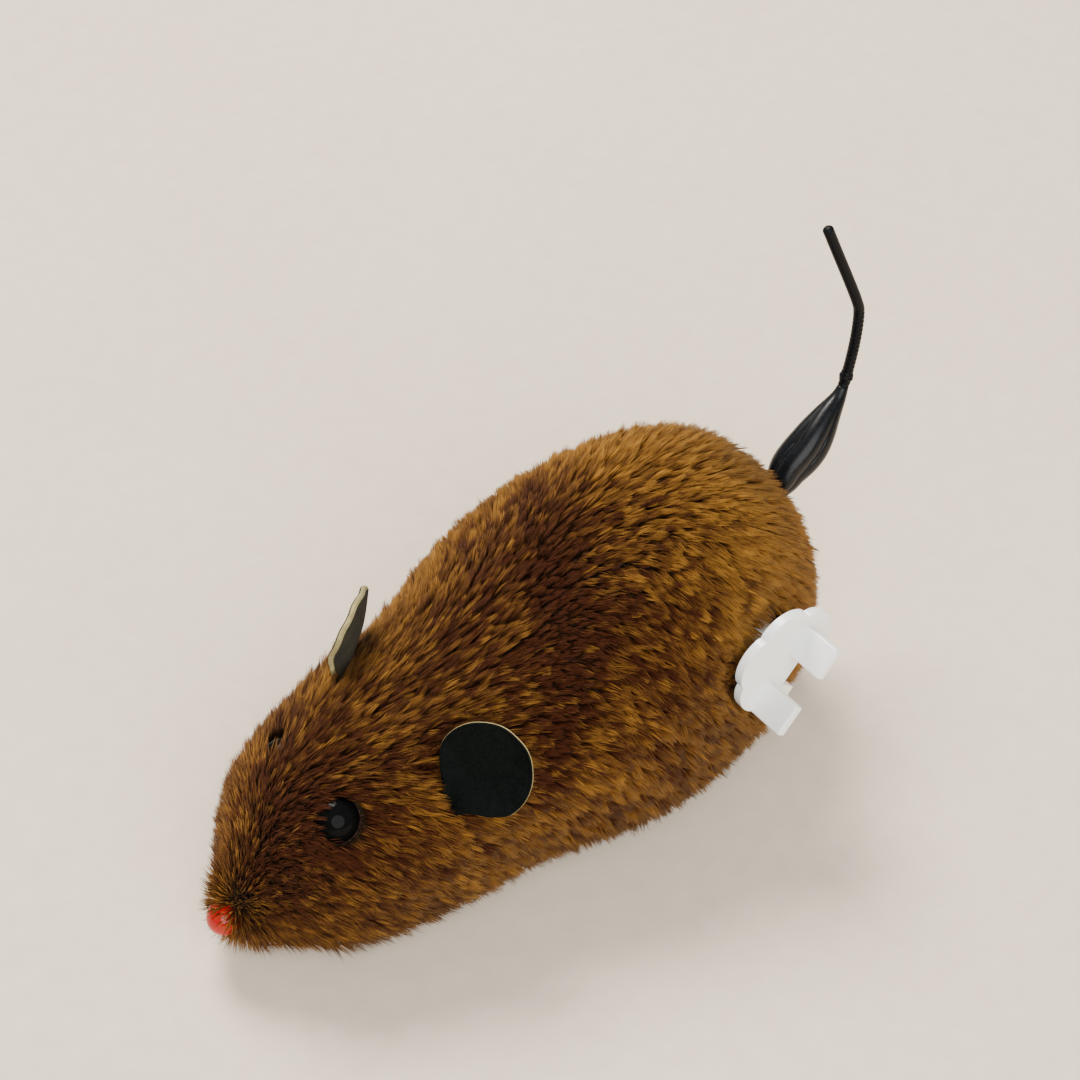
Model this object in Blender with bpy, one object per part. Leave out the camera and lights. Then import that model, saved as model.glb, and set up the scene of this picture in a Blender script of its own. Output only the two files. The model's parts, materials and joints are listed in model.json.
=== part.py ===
"""Clockwork mouse: a plush-covered wind-up toy, modelled as separate sub-parts.

Metres, +X towards the nose, +Y to the mouse's left (the key side), +Z up.
The mouse is laid out about its own middle: X = 0 halfway between nose and rump, Y = 0 on
the mid-plane, Z = 0 on the floor. The empty "mouse" then shifts the whole toy, so that the
origin is on the floor under the middle of everything, tail and key included.
"""

import math

import bmesh
import bpy
from mathutils import Vector
from mathutils.geometry import tessellate_polygon

# ---- Driving dimensions -------------------------------------------------------------

GAP = 0.0003                      # clearance between pieces that touch or nest
ORIGIN_SHIFT = (0.00666, -0.00214, 0.0)

# The body's outer shape. Sections stand at equal steps of the lengthwise angle, from the
# nose (0) to the rump (180 degrees), so that both ends come out round.
BODY_HALF_LENGTH = 0.045
SECTION_POWER = 2.3               # a superellipse, slightly squarer than an ellipse
WIDEST_AT_NOSE = 0.0076           # height of the section's widest line at the nose
WIDEST_AT_RUMP = 0.0159           # and at the rump
BELLY_HEIGHT = 0.003
HALF_WIDTHS = (0.0, 0.0045, 0.0127, 0.0169, 0.0190, 0.0230, 0.0219, 0.0169, 0.0109, 0.0)
CROWN_RISES = (0.0, 0.0066, 0.0153, 0.0184, 0.0199, 0.0240, 0.0264, 0.0239, 0.0143, 0.0)
COVER_THICKNESS = 0.0035          # cloth and pile together
SHELL_WALL = 0.0012
HEM_SHARE = 0.85                  # underside opening, as a share of the inside width
HEM_ENDS = (0.0385, -0.0405)      # front and rear ends of the underside opening
HEM_OPENING_Z = (-0.001, 0.012)   # height range that the underside opening is cut over

# Chassis and running gear.
CHASSIS_BOTTOM = 0.0039
CHASSIS_TOP = 0.0055
BOSS_RADIUS = 0.0015
BOSS_BORE_DEPTH = 0.006
SHELL_BOSSES = {                  # x of each boss, and x where the roof over it is lowest
    "front": (0.0100, 0.0115),
    "rear": (-0.0378, -0.0393),
}
WHEEL_CLEARANCE = 0.0008
WELL_SIDE_CLEARANCE = 0.0006
AXLE_RADIUS = 0.0008
REAR_AXLE = (-0.021, 0.0070)      # x, z
REAR_WHEEL_RADIUS = 0.0070
REAR_WHEEL_WIDTH = 0.0028
REAR_WHEEL_Y = 0.0099
TYRE_THICKNESS = 0.0013
TYRE_EDGE = 0.0005
HUB_RADIUS = 0.0022
HUB_FILLET = 0.0004
RIM_WALL = 0.0006
WEB_HALF_THICKNESS = 0.0006
FRONT_AXLE = (0.024, 0.0068)
FRONT_WHEEL_RADIUS = 0.0068
FRONT_WHEEL_WIDTH = 0.0020
FRONT_WHEEL_Y = 0.0066
FRONT_WHEEL_EDGE = 0.0004
FRONT_LUG_Y = 0.0038
FRONT_LUG_THICKNESS = 0.0014
FRONT_LUG_TOP = ((0.0016, 0.0014), (0.0008, 0.0019), (-0.0008, 0.0019), (-0.0016, 0.0014))
FRONT_LUG_FOOT = 0.0022           # half of the lug's width where it joins the plate

# Clockwork. All its shafts run sideways, parallel to the axles.
KEY_AXIS = (-0.0265, 0.0243)      # x, z
GEAR_MODULE = 0.0006
GREAT_TEETH = 30
SECOND_TEETH = 26
PINION_TEETH = 10
GREAT_WHEEL_Y = (-0.0006, 0.0009)
SECOND_PINION_Y = (-0.0010, 0.0011)
SECOND_WHEEL_Y = (0.0029, 0.0042)
DRIVE_PINION_Y = (0.0026, 0.0045)
MESH_SLACK = 0.00025              # added to each pair's centre distance
MOTOR_INSIDE = 0.0055             # half the distance between the side plates
MOTOR_PLATE = 0.0012
MOTOR_OUTLINE = (                 # x, z
    (-0.0357, 0.0058), (-0.0072, 0.0058), (-0.0072, 0.0230),
    (-0.0160, 0.0315), (-0.0290, 0.0315), (-0.0357, 0.0250),
)
ARBOR_RADIUS = 0.0012
ARBOR_Y = (-0.0078, 0.0172)
SHAFT_OVERHANG = 0.0005           # of the second shaft beyond the side plates
PILLARS = ((-0.0335, 0.0120), (-0.0140, 0.0275), (-0.0100, 0.0086))
PILLAR_RADIUS = 0.0018
PILLAR_BORE_START = 0.0020
SCREW_RADIUS = 0.0007
SCREW_HEAD_RADIUS = 0.0014
SCREW_HEAD_TOP_RADIUS = 0.0011
SCREW_HEAD_HEIGHT = 0.0007
SCREW_HEAD_EDGE = 0.0003
SCREW_RECESS = 0.0011             # counterbore in the chassis that takes a boss screw's head
SPRING_Y = (-0.0051, -0.0011)
SPRING_TURNS = 4
SPRING_PITCH = 0.0013
SPRING_STRIP = 0.0003
RATCHET_TEETH = 12
RATCHET_TIP = 0.0040
RATCHET_ROOT = 0.0031
RATCHET_UNDERCUT = math.radians(6)
RATCHET_Y = (0.0013, 0.0025)
CLICK_PIVOT = (0.00624, 0.0036)   # from the key axis: x, z
CLICK_NOSE = (                    # from the key axis: x, z
    (0.0029, 0.0045), (0.0012, 0.0044), (0.00095, 0.00365),
    (0.00045, 0.00365), (0.0002, 0.0052), (0.0032, 0.0056),
)
CLICK_BOSS_RADIUS = 0.0013
CLICK_PIN_RADIUS = 0.0005
CLICK_PIN_Y = (0.0012, 0.0027)

# Key.
KEY_DISC_Y = 0.0214               # middle of the disc's thickness
KEY_DISC_THICKNESS = 0.0020
KEY_RADIUS = 0.0078
KEY_LOBES = 6
KEY_LOBE_DEPTH = 0.0010
KEY_CLEARANCE = 0.0005            # of the turning disc from the pile pressed flat behind it
KEY_STEM_RADIUS = 0.0022
KEY_STEM_INNER_Y = 0.0088
KEY_SOCKET_END = 0.0016           # solid length of the stem behind the disc
KEY_BORE_Y = (0.004, 0.030)       # range that the cover's and shell's holes are cut over
KEY_WING_ANGLE = math.radians(-46)
KEY_WING_SPAN = 0.0131            # over both wings
KEY_WING_GAP = 0.0042
KEY_WING_HEIGHT = 0.0050
KEY_WING_THICKNESS = 0.0014
KEY_NOTCH_END = -0.0026           # the notch stops short of the stem
JOIN_DEPTH = 0.0005               # how far one part of the key runs into the next

# Face, ears and tail.
EYE_RADIUS = 0.0027
EYE_CENTRE = (0.0301, 0.0071, 0.0233)
EYE_FACING = (0.35, 0.42, 0.84)
EYE_BACK = 0.0010                 # depth of the eye's flat back below its widest line
EYE_POCKET_REACH = 0.0040
NOSE_RADIUS = 0.0022
NOSE_CENTRE = (0.0442, 0.0, 0.0075)
EAR_RADIUS = 0.0061
EAR_THICKNESS = 0.0009
EAR_NECK = 0.0024
EAR_ROOT_DEPTH = 0.0030
EARS = {                          # base, direction to the tip, way the front faces, and
    "left": (                     # height of the disc's middle over the base
        (0.0178, 0.0132, 0.0232), (-0.714, 0.196, 0.679), (0.677, 0.463, 0.572), 0.0056,
    ),
    "right": (
        (0.0162, -0.0102, 0.0262), (-0.56, -0.24, 0.79), (0.55, -0.83, 0.14), 0.0033,
    ),
}
TAIL_ROUTE = ((-0.0425, 0.0, 0.0255), (-0.0499, -0.0002, 0.0307), (-0.0570, -0.0008, 0.0357),
              (-0.0589, -0.0020, 0.0466), (-0.0547, -0.0045, 0.0609))
TAIL_RADIUS = 0.00072
FLARE_ROOT_RADIUS = 0.0012
FLARE_RADIUS = 0.0023
FLARE_PLEATS = 5
FLARE_PLEAT_DEPTH = 0.10          # as a share of the radius
FLARE_SHARE = 0.42                # of the tail's route
CORD_START = 0.426                # just clear of the flare's tip, as a share of the route
TAIL_BORE_REACH = 0.0050

CUT_PAST = 0.002                  # how far a cutter reaches past what it cuts

FILL_SCALE = 1000.0               # outlines are filled in millimetres, clear of merge limits


# ---- Helpers ------------------------------------------------------------------------

def material(name, colour, roughness, metallic=0.0):
    made = bpy.data.materials.new(name)
    made.use_nodes = True
    shader = made.node_tree.nodes["Principled BSDF"]
    shader.inputs["Base Color"].default_value = (*colour, 1.0)
    shader.inputs["Roughness"].default_value = roughness
    shader.inputs["Metallic"].default_value = metallic
    return made


def add_piece(name, verts, faces, surface, at=(0.0, 0.0, 0.0)):
    """Make an object from points relative to "at", its origin, and parent it to the mouse."""
    mesh = bpy.data.meshes.new(name)
    mesh.from_pydata([tuple(v) for v in verts], [], faces)
    shape = bmesh.new()
    shape.from_mesh(mesh)
    bmesh.ops.recalc_face_normals(shape, faces=shape.faces)
    shape.to_mesh(mesh)
    shape.free()
    mesh.shade_smooth()
    mesh.set_sharp_from_angle(angle=math.radians(35))
    piece = bpy.data.objects.new(name, mesh)
    bpy.context.collection.objects.link(piece)
    piece.location = at
    piece.parent = mouse
    if surface:
        mesh.materials.append(surface)
    return piece


def circle(radius, sides, centre=(0.0, 0.0)):
    steps = [2 * math.pi * k / sides for k in range(sides)]
    return [(centre[0] + radius * math.cos(a), centre[1] + radius * math.sin(a)) for a in steps]


def slab(name, loops, low, high, surface, at=(0.0, 0.0, 0.0), sideways=True):
    """A flat piece: an outline with holes, extruded.

    Sideways, the outline is in X and Z and the thickness runs along Y; otherwise the
    outline is in X and Y and the thickness runs along Z.
    """
    flat = [Vector((u, v, 0.0)) for loop in loops for u, v in loop]
    scaled = [[Vector((u, v, 0.0)) * FILL_SCALE for u, v in loop] for loop in loops]
    caps = tessellate_polygon(scaled)
    count = len(flat)
    faces = [tuple(reversed(cap)) for cap in caps]
    faces += [tuple(i + count for i in cap) for cap in caps]
    first = 0
    for loop in loops:
        ring = range(first, first + len(loop))
        follow = [*ring[1:], ring[0]]
        faces += [(i, j, j + count, i + count) for i, j in zip(ring, follow)]
        first += len(loop)
    if sideways:
        verts = [(p.x, level, p.y) for level in (low, high) for p in flat]
    else:
        verts = [(p.x, p.y, level) for level in (low, high) for p in flat]
    return add_piece(name, verts, faces, surface, at)


def turned(name, profile, sides, surface, at, along=(0.0, 1.0, 0.0)):
    """A turned piece: a profile of (radius, distance along the axis) spun round the axis.

    A profile that starts and ends on the axis is closed by its two poles; any other is
    a closed ring.
    """
    axis = Vector(along).normalized()
    guide = Vector((0.0, 0.0, 1.0)) if abs(axis.z) < 0.9 else Vector((1.0, 0.0, 0.0))
    first = (guide - axis * guide.dot(axis)).normalized()
    second = axis.cross(first)
    verts = []
    rings = []
    for radius, distance in profile:
        start = len(verts)
        if radius == 0.0:
            verts.append(axis * distance)
            rings.append([start] * sides)
            continue
        for u, v in circle(radius, sides):
            verts.append(axis * distance + first * u + second * v)
        rings.append(list(range(start, start + sides)))
    if profile[0][0] > 0.0:
        rings.append(rings[0])
    faces = []
    for ring, after in zip(rings, rings[1:]):
        for k in range(sides):
            j = (k + 1) % sides
            corners = dict.fromkeys((ring[k], ring[j], after[j], after[k]))
            faces.append(tuple(corners))
    return add_piece(name, verts, faces, surface, at)


def box(name, low, high, surface=None, at=(0.0, 0.0, 0.0)):
    outline = [(low[0], low[1]), (high[0], low[1]), (high[0], high[1]), (low[0], high[1])]
    return slab(name, [outline], low[2], high[2], surface, at, sideways=False)


def carve(piece, tool, operation="DIFFERENCE"):
    """Cut a piece with a tool, or join the tool to it; the tool itself stays hidden."""
    tool.hide_render = True
    tool.display_type = "WIRE"
    change = piece.modifiers.new(tool.name, "BOOLEAN")
    change.operation = operation
    change.solver = "EXACT"
    change.object = tool


def smooth_run(values, place):
    """Read a smooth (Catmull-Rom) curve through equally spaced values at a place from 0 to 1.

    Numbers and vectors both work. Past each end the curve is continued in a straight line.
    """
    spans = len(values) - 1
    span = min(int(place * spans), spans - 1)
    t = place * spans - span
    here, there = values[span], values[span + 1]
    before = values[span - 1] if span > 0 else here * 2 - there
    after = values[span + 2] if span < spans - 1 else there * 2 - here
    square = before * 2 - here * 5 + there * 4 - after
    cube = here * 3 - before - there * 3 + after
    return here + ((there - before) + square * t + cube * t * t) * (t / 2)


# ---- Body shape ---------------------------------------------------------------------

def body_section(along, inset):
    """Middle x, widest half-width, its height, crown rise and belly drop of one section.

    "along" is the lengthwise angle from the nose; "inset" shrinks the whole shape
    evenly, for the inner surfaces.
    """
    x = (BODY_HALF_LENGTH - inset) * math.cos(along)
    reach = math.sin(along)
    widest = WIDEST_AT_NOSE + (WIDEST_AT_RUMP - WIDEST_AT_NOSE) * (1 - math.cos(along)) / 2
    half_width = smooth_run(HALF_WIDTHS, along / math.pi) - inset * reach
    rise = smooth_run(CROWN_RISES, along / math.pi) - inset * reach
    drop = (widest - BELLY_HEIGHT) * min(1.0, 3 * reach) - inset * reach
    return x, half_width, widest, rise, drop


def body_solid(name, inset, surface=None, sections=18, sides=20):
    """The closed body shape, shrunk by "inset"."""
    x, _, height, _, _ = body_section(0.0, inset)
    verts = [(x, 0.0, height)]
    for step in range(1, sections):
        x, half_width, widest, rise, drop = body_section(math.pi * step / sections, inset)
        for u, v in circle(1.0, sides):
            y = half_width * math.copysign(abs(u) ** (2 / SECTION_POWER), u)
            lift = math.copysign(abs(v) ** (2 / SECTION_POWER), v)
            verts.append((x, y, widest + lift * (rise if lift > 0 else drop)))
    x, _, height, _, _ = body_section(math.pi, inset)
    verts.append((x, 0.0, height))
    last = len(verts) - 1
    faces = []
    for k in range(sides):
        j = (k + 1) % sides
        faces.append((0, 1 + k, 1 + j))
        faces.append((last, last - sides + j, last - sides + k))
        for step in range(sections - 2):
            start = 1 + step * sides
            faces.append((start + k, start + sides + k, start + sides + j, start + j))
    return add_piece(name, verts, faces, surface)


def hem_half_width(x, margin=0.0):
    """Half-width of the underside opening at x."""
    along = math.acos(x / BODY_HALF_LENGTH)
    inset = COVER_THICKNESS + GAP + SHELL_WALL
    half_width = smooth_run(HALF_WIDTHS, along / math.pi) - inset * math.sin(along)
    return HEM_SHARE * half_width - margin


def hem_outline(margin, steps=14):
    front, rear = HEM_ENDS[0] - margin, HEM_ENDS[1] + margin
    stations = [front + (rear - front) * k / steps for k in range(steps + 1)]
    left = [(x, hem_half_width(x, margin)) for x in stations]
    return left + [(x, -y) for x, y in reversed(left)]


def roof_height(x, inset):
    """Height of the body shape's crown at x, at a given inset."""
    along = math.acos(x / (BODY_HALF_LENGTH - inset))
    _, _, widest, rise, _ = body_section(along, inset)
    return widest + rise


# ---- Soft cover, shell and trim -------------------------------------------------------

def make_cover_and_shell():
    cover = body_solid("plush_cover", 0.0, plush)
    carve(cover, body_solid("cover_inside", COVER_THICKNESS))
    shell = body_solid("body_shell", COVER_THICKNESS + GAP, shell_plastic)
    carve(shell, body_solid("shell_inside", COVER_THICKNESS + GAP + SHELL_WALL))
    opening = slab("underside_opening", [hem_outline(0.0)], *HEM_OPENING_Z, None, sideways=False)
    key_bore = turned("key_bore", cylinder(KEY_STEM_RADIUS + 2 * GAP, *KEY_BORE_Y), 16, None,
                      at_axis(KEY_AXIS))
    for piece in (cover, shell):
        carve(piece, opening)
        carve(piece, key_bore)
    dish_floor = KEY_DISC_Y - KEY_DISC_THICKNESS / 2 - KEY_CLEARANCE
    dish = cylinder(KEY_RADIUS + KEY_CLEARANCE, dish_floor, KEY_BORE_Y[1])
    carve(cover, turned("key_dish", dish, 24, None, at_axis(KEY_AXIS)))
    return cover


def make_face(cover):
    for side, sign in (("left", 1), ("right", -1)):
        centre = (EYE_CENTRE[0], sign * EYE_CENTRE[1], EYE_CENTRE[2])
        facing = (EYE_FACING[0], sign * EYE_FACING[1], EYE_FACING[2])
        dome = [(0.0, -EYE_BACK), (math.sqrt(EYE_RADIUS ** 2 - EYE_BACK ** 2), -EYE_BACK)]
        dome += [(EYE_RADIUS * math.cos(a), EYE_RADIUS * math.sin(a))
                 for a in (math.radians(18 * k) for k in range(5))]
        turned(f"eye_{side}", [*dome, (0.0, EYE_RADIUS)], 16, bead_black, centre, facing)
        pocket = cylinder(EYE_RADIUS + GAP, -EYE_BACK - GAP, EYE_POCKET_REACH)
        carve(cover, turned(f"eye_pocket_{side}", pocket, 16, None, centre, facing))
    turned("nose", ball(NOSE_RADIUS, 8), 16, bead_red, NOSE_CENTRE, (1.0, 0.0, 0.0))
    pocket = ball(NOSE_RADIUS + GAP, 8)
    carve(cover, turned("nose_pocket", pocket, 16, None, NOSE_CENTRE, (1.0, 0.0, 0.0)))


def ear_outline(lift, margin):
    """A disc on a narrow root, grown by "margin" all round; its foot is at the origin."""
    radius = EAR_RADIUS + margin
    neck = EAR_NECK + margin
    opening = math.asin(neck / radius)
    turns = [opening - math.pi / 2 + 2 * (math.pi - opening) * k / 22 for k in range(23)]
    disc = [(radius * math.cos(a), lift + radius * math.sin(a)) for a in turns]
    return [*disc, (-neck, -EAR_ROOT_DEPTH - margin), (neck, -EAR_ROOT_DEPTH - margin)]


def make_ears(cover):
    """Flat leather discs whose roots and lower edges sit in slots in the cover."""
    for side, (base, tip, front, lift) in EARS.items():
        up = Vector(tip).normalized()
        normal = (Vector(front) - up * up.dot(Vector(front))).normalized()
        across = normal.cross(up)
        half = EAR_THICKNESS / 2
        ear = slab(f"ear_{side}", [ear_outline(lift, 0.0)], -half, half, ear_black, base)
        slot = slab(f"ear_slot_{side}", [ear_outline(lift, GAP)], -half - GAP, half + GAP, None, base)
        for piece in (ear, slot):
            for vert in piece.data.vertices:
                vert.co = across * vert.co.x + normal * vert.co.y + up * vert.co.z
        carve(cover, slot)


def cylinder(radius, low, high):
    return [(0.0, low), (radius, low), (radius, high), (0.0, high)]


def ball(radius, steps):
    turns = [math.pi * k / steps for k in range(1, steps)]
    middle = [(radius * math.sin(a), -radius * math.cos(a)) for a in turns]
    return [(0.0, -radius), *middle, (0.0, radius)]


def at_axis(axis, y=0.0):
    return (axis[0], y, axis[1])


# ---- Tail -----------------------------------------------------------------------------

def lofted(name, route, radius_at, sides, surface):
    """A closed tube along a list of points; radius_at(share, angle) gives its outline."""
    verts = [route[0]]
    for k in range(len(route)):
        step = route[min(k + 1, len(route) - 1)] - route[max(k - 1, 0)]
        forward = step.normalized()
        first = Vector((0.0, 1.0, 0.0)).cross(forward).normalized()
        second = forward.cross(first)
        for j in range(sides):
            angle = 2 * math.pi * j / sides
            radius = radius_at(k / (len(route) - 1), angle)
            verts.append(route[k] + (first * math.cos(angle) + second * math.sin(angle)) * radius)
    verts.append(route[-1])
    last = len(verts) - 1
    faces = []
    for k in range(sides):
        j = (k + 1) % sides
        faces.append((0, 1 + j, 1 + k))
        faces.append((last, last - sides + k, last - sides + j))
        for ring in range(len(route) - 1):
            start = 1 + ring * sides
            faces.append((start + k, start + j, start + sides + j, start + sides + k))
    return add_piece(name, verts, faces, surface)


def make_tail(cover):
    """A pleated, leaf-shaped flare at the root, drawn out into a thin stiff cord."""
    route = [Vector(point) for point in TAIL_ROUTE]

    def flare_radius(share, angle):
        belly = math.sin(math.pi * share ** 0.75) ** 1.5
        ends = FLARE_ROOT_RADIUS + (TAIL_RADIUS - FLARE_ROOT_RADIUS) * share
        radius = ends + (FLARE_RADIUS - ends) * belly
        return radius * (1 + FLARE_PLEAT_DEPTH * belly * math.cos(FLARE_PLEATS * angle))

    flare = [smooth_run(route, FLARE_SHARE * k / 10) for k in range(11)]
    lofted("tail_flare", flare, flare_radius, 15, tail_black)
    cord = [smooth_run(route, CORD_START + (1 - CORD_START) * k / 18) for k in range(19)]
    lofted("tail_cord", cord, lambda share, angle: TAIL_RADIUS, 8, tail_black)
    bore = cylinder(FLARE_ROOT_RADIUS + 2 * GAP, -2 * GAP, TAIL_BORE_REACH)
    carve(cover, turned("tail_bore", bore, 12, None, route[0], route[1] - route[0]))


# ---- Chassis and running gear -----------------------------------------------------------

def make_chassis():
    chassis = slab("chassis", [hem_outline(GAP)], CHASSIS_BOTTOM, CHASSIS_TOP, chassis_plastic,
                   sideways=False)
    stations = (("rear", REAR_AXLE, REAR_WHEEL_RADIUS, REAR_WHEEL_WIDTH, REAR_WHEEL_Y),
                ("front", FRONT_AXLE, FRONT_WHEEL_RADIUS, FRONT_WHEEL_WIDTH, FRONT_WHEEL_Y))
    for end, axle, radius, width, middle in stations:
        reach = radius + WHEEL_CLEARANCE
        half = width / 2 + WELL_SIDE_CLEARANCE
        for side, sign in (("left", 1), ("right", -1)):
            well = box(f"{end}_well_{side}", (-reach, sign * middle - half, -CUT_PAST),
                       (reach, sign * middle + half, CUT_PAST), None, (axle[0], 0.0, CHASSIS_BOTTOM))
            carve(chassis, well)
    low, high = DRIVE_PINION_Y
    reach = GEAR_MODULE * (PINION_TEETH / 2 + 1) + WHEEL_CLEARANCE
    slot = box("drive_pinion_slot", (-reach, low - WELL_SIDE_CLEARANCE, -CUT_PAST),
               (reach, high + WELL_SIDE_CLEARANCE, CUT_PAST), None, (REAR_AXLE[0], 0.0, CHASSIS_BOTTOM))
    carve(chassis, slot)
    drop = FRONT_AXLE[1] - CHASSIS_TOP + 2 * GAP
    lug = [(-FRONT_LUG_FOOT, -drop), (FRONT_LUG_FOOT, -drop), *FRONT_LUG_TOP]
    half = FRONT_LUG_THICKNESS / 2
    bore = circle(AXLE_RADIUS + GAP, 12)
    for side, sign in (("left", 1), ("right", -1)):
        middle = sign * FRONT_LUG_Y
        carve(chassis, slab(f"front_lug_{side}", [lug, bore], middle - half, middle + half, None,
                            at_axis(FRONT_AXLE)), "UNION")
    for x, _ in SHELL_BOSSES.values():
        hole = turned("boss_hole", cylinder(SCREW_RADIUS + GAP, -CUT_PAST, 2 * CUT_PAST), 12, None,
                      (x, 0.0, CHASSIS_BOTTOM), (0.0, 0.0, 1.0))
        carve(chassis, hole)
        counterbore = cylinder(SCREW_HEAD_RADIUS + GAP, -CUT_PAST, SCREW_RECESS)
        carve(chassis, turned("screw_recess", counterbore, 16, None, (x, 0.0, CHASSIS_BOTTOM),
                              (0.0, 0.0, 1.0)))


def screw_profile(tip, seat):
    """A headed screw from its tip to under its head at "seat", with the head beyond that."""
    away = math.copysign(1.0, seat - tip)
    edge = seat + away * (SCREW_HEAD_HEIGHT - SCREW_HEAD_EDGE)
    end = seat + away * SCREW_HEAD_HEIGHT
    return [(0.0, tip), (SCREW_RADIUS, tip), (SCREW_RADIUS, seat), (SCREW_HEAD_RADIUS, seat),
            (SCREW_HEAD_RADIUS, edge), (SCREW_HEAD_TOP_RADIUS, end), (0.0, end)]


def make_bosses():
    """Columns between the chassis and the shell's roof, each with a screw from below."""
    for end, (x, lowest_roof_x) in SHELL_BOSSES.items():
        inset = COVER_THICKNESS + GAP + SHELL_WALL
        top = roof_height(lowest_roof_x, inset) - 2 * GAP
        foot = CHASSIS_TOP + GAP
        bore_top = foot + BOSS_BORE_DEPTH
        bore = SCREW_RADIUS + GAP
        profile = [(0.0, bore_top), (bore, bore_top), (bore, foot), (BOSS_RADIUS, foot),
                   (BOSS_RADIUS, top), (0.0, top)]
        turned(f"boss_{end}", profile, 12, shell_plastic, (x, 0.0, 0.0), (0.0, 0.0, 1.0))
        screw = screw_profile(bore_top - GAP, CHASSIS_BOTTOM + SCREW_RECESS - GAP)
        turned(f"boss_screw_{end}", screw, 12, steel, (x, 0.0, 0.0), (0.0, 0.0, 1.0))


def ring_profile(bore, radius, half_width, edge):
    """Section of a wheel or ring between two radii, with its outer edges cut by "edge"."""
    return [(bore, -half_width), (radius - edge, -half_width), (radius, edge - half_width),
            (radius, half_width - edge), (radius - edge, half_width), (bore, half_width)]


def make_wheels():
    rod = REAR_WHEEL_Y + REAR_WHEEL_WIDTH / 2
    turned("rear_axle", cylinder(AXLE_RADIUS, -rod, rod), 12, steel, at_axis(REAR_AXLE))
    rod = FRONT_WHEEL_Y + FRONT_WHEEL_WIDTH / 2
    turned("front_axle", cylinder(AXLE_RADIUS, -rod, rod), 12, steel, at_axis(FRONT_AXLE))
    bore = AXLE_RADIUS + GAP
    rim = REAR_WHEEL_RADIUS - TYRE_THICKNESS
    half = REAR_WHEEL_WIDTH / 2
    web = WEB_HALF_THICKNESS
    hub_foot = HUB_RADIUS + HUB_FILLET
    hub = [(bore, -half), (HUB_RADIUS, -half), (hub_foot, -web), (rim - RIM_WALL - GAP, -web),
           (rim - RIM_WALL, -half), (rim - GAP, -half), (rim - GAP, half), (rim - RIM_WALL, half),
           (rim - RIM_WALL - GAP, web), (hub_foot, web), (HUB_RADIUS, half), (bore, half)]
    for side, sign in (("left", 1), ("right", -1)):
        middle = at_axis(REAR_AXLE, sign * REAR_WHEEL_Y)
        turned(f"rear_wheel_{side}", hub, 16, wheel_plastic, middle)
        tyre = ring_profile(rim, REAR_WHEEL_RADIUS, half, TYRE_EDGE)
        turned(f"rear_tyre_{side}", tyre, 24, tyre_rubber, middle)
        middle = at_axis(FRONT_AXLE, sign * FRONT_WHEEL_Y)
        wheel = ring_profile(bore, FRONT_WHEEL_RADIUS, FRONT_WHEEL_WIDTH / 2, FRONT_WHEEL_EDGE)
        turned(f"front_wheel_{side}", wheel, 24, wheel_plastic, middle)


# ---- Clockwork --------------------------------------------------------------------------

def gear_outline(teeth, phase):
    """Straight-flanked teeth; the tooth at "phase" (an angle in X-Z) is centred there."""
    pitch = GEAR_MODULE * teeth / 2
    levels = ((pitch - 1.1 * GEAR_MODULE, 1.04), (pitch + 0.8 * GEAR_MODULE, 0.35))
    points = []
    for k in range(teeth):
        middle = phase + 2 * math.pi * k / teeth
        (root, wide), (tip, narrow) = levels
        root_half = wide * GEAR_MODULE / root
        tip_half = narrow * GEAR_MODULE / tip
        for radius, angle in ((root, -root_half), (tip, -tip_half), (tip, tip_half), (root, root_half)):
            points.append((radius * math.cos(middle + angle), radius * math.sin(middle + angle)))
    return points


def second_shaft_place():
    """Where both gear pairs have their centre distances: ahead of the key and rear axles."""
    key, axle = Vector(KEY_AXIS), Vector(REAR_AXLE)
    upper = GEAR_MODULE * (GREAT_TEETH + PINION_TEETH) / 2 + MESH_SLACK
    lower = GEAR_MODULE * (SECOND_TEETH + PINION_TEETH) / 2 + MESH_SLACK
    line = axle - key
    span = line.length
    share = (upper ** 2 - lower ** 2 + span ** 2) / (2 * span)
    offset = math.sqrt(upper ** 2 - share ** 2)
    down = line / span
    forward = Vector((-down.y, down.x))
    return key + down * share + forward * offset


def angle_to(start, end):
    return math.atan2(end[1] - start[1], end[0] - start[0])


def make_train():
    """Great wheel, second shaft and drive pinion, each pair meshing at rest."""
    second = second_shaft_place()
    key_line = angle_to(KEY_AXIS, second)
    axle_line = angle_to(second, REAR_AXLE)
    loose_bore = circle(ARBOR_RADIUS + GAP, 16)
    shaft_bore = circle(AXLE_RADIUS + GAP, 12)
    pinion_half_tooth = math.pi / PINION_TEETH
    slab("great_wheel", [gear_outline(GREAT_TEETH, key_line), loose_bore], *GREAT_WHEEL_Y, brass,
         at_axis(KEY_AXIS))
    place = at_axis(second)
    pinion = gear_outline(PINION_TEETH, key_line + math.pi + pinion_half_tooth)
    slab("second_pinion", [pinion, shaft_bore], *SECOND_PINION_Y, brass, place)
    slab("second_wheel", [gear_outline(SECOND_TEETH, axle_line), shaft_bore], *SECOND_WHEEL_Y,
         gear_plastic, place)
    rod = MOTOR_INSIDE + MOTOR_PLATE + SHAFT_OVERHANG
    turned("second_shaft", cylinder(AXLE_RADIUS, -rod, rod), 12, steel, place)
    pinion = gear_outline(PINION_TEETH, axle_line + math.pi + pinion_half_tooth)
    slab("drive_pinion", [pinion, shaft_bore], *DRIVE_PINION_Y, gear_plastic, at_axis(REAR_AXLE))


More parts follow.
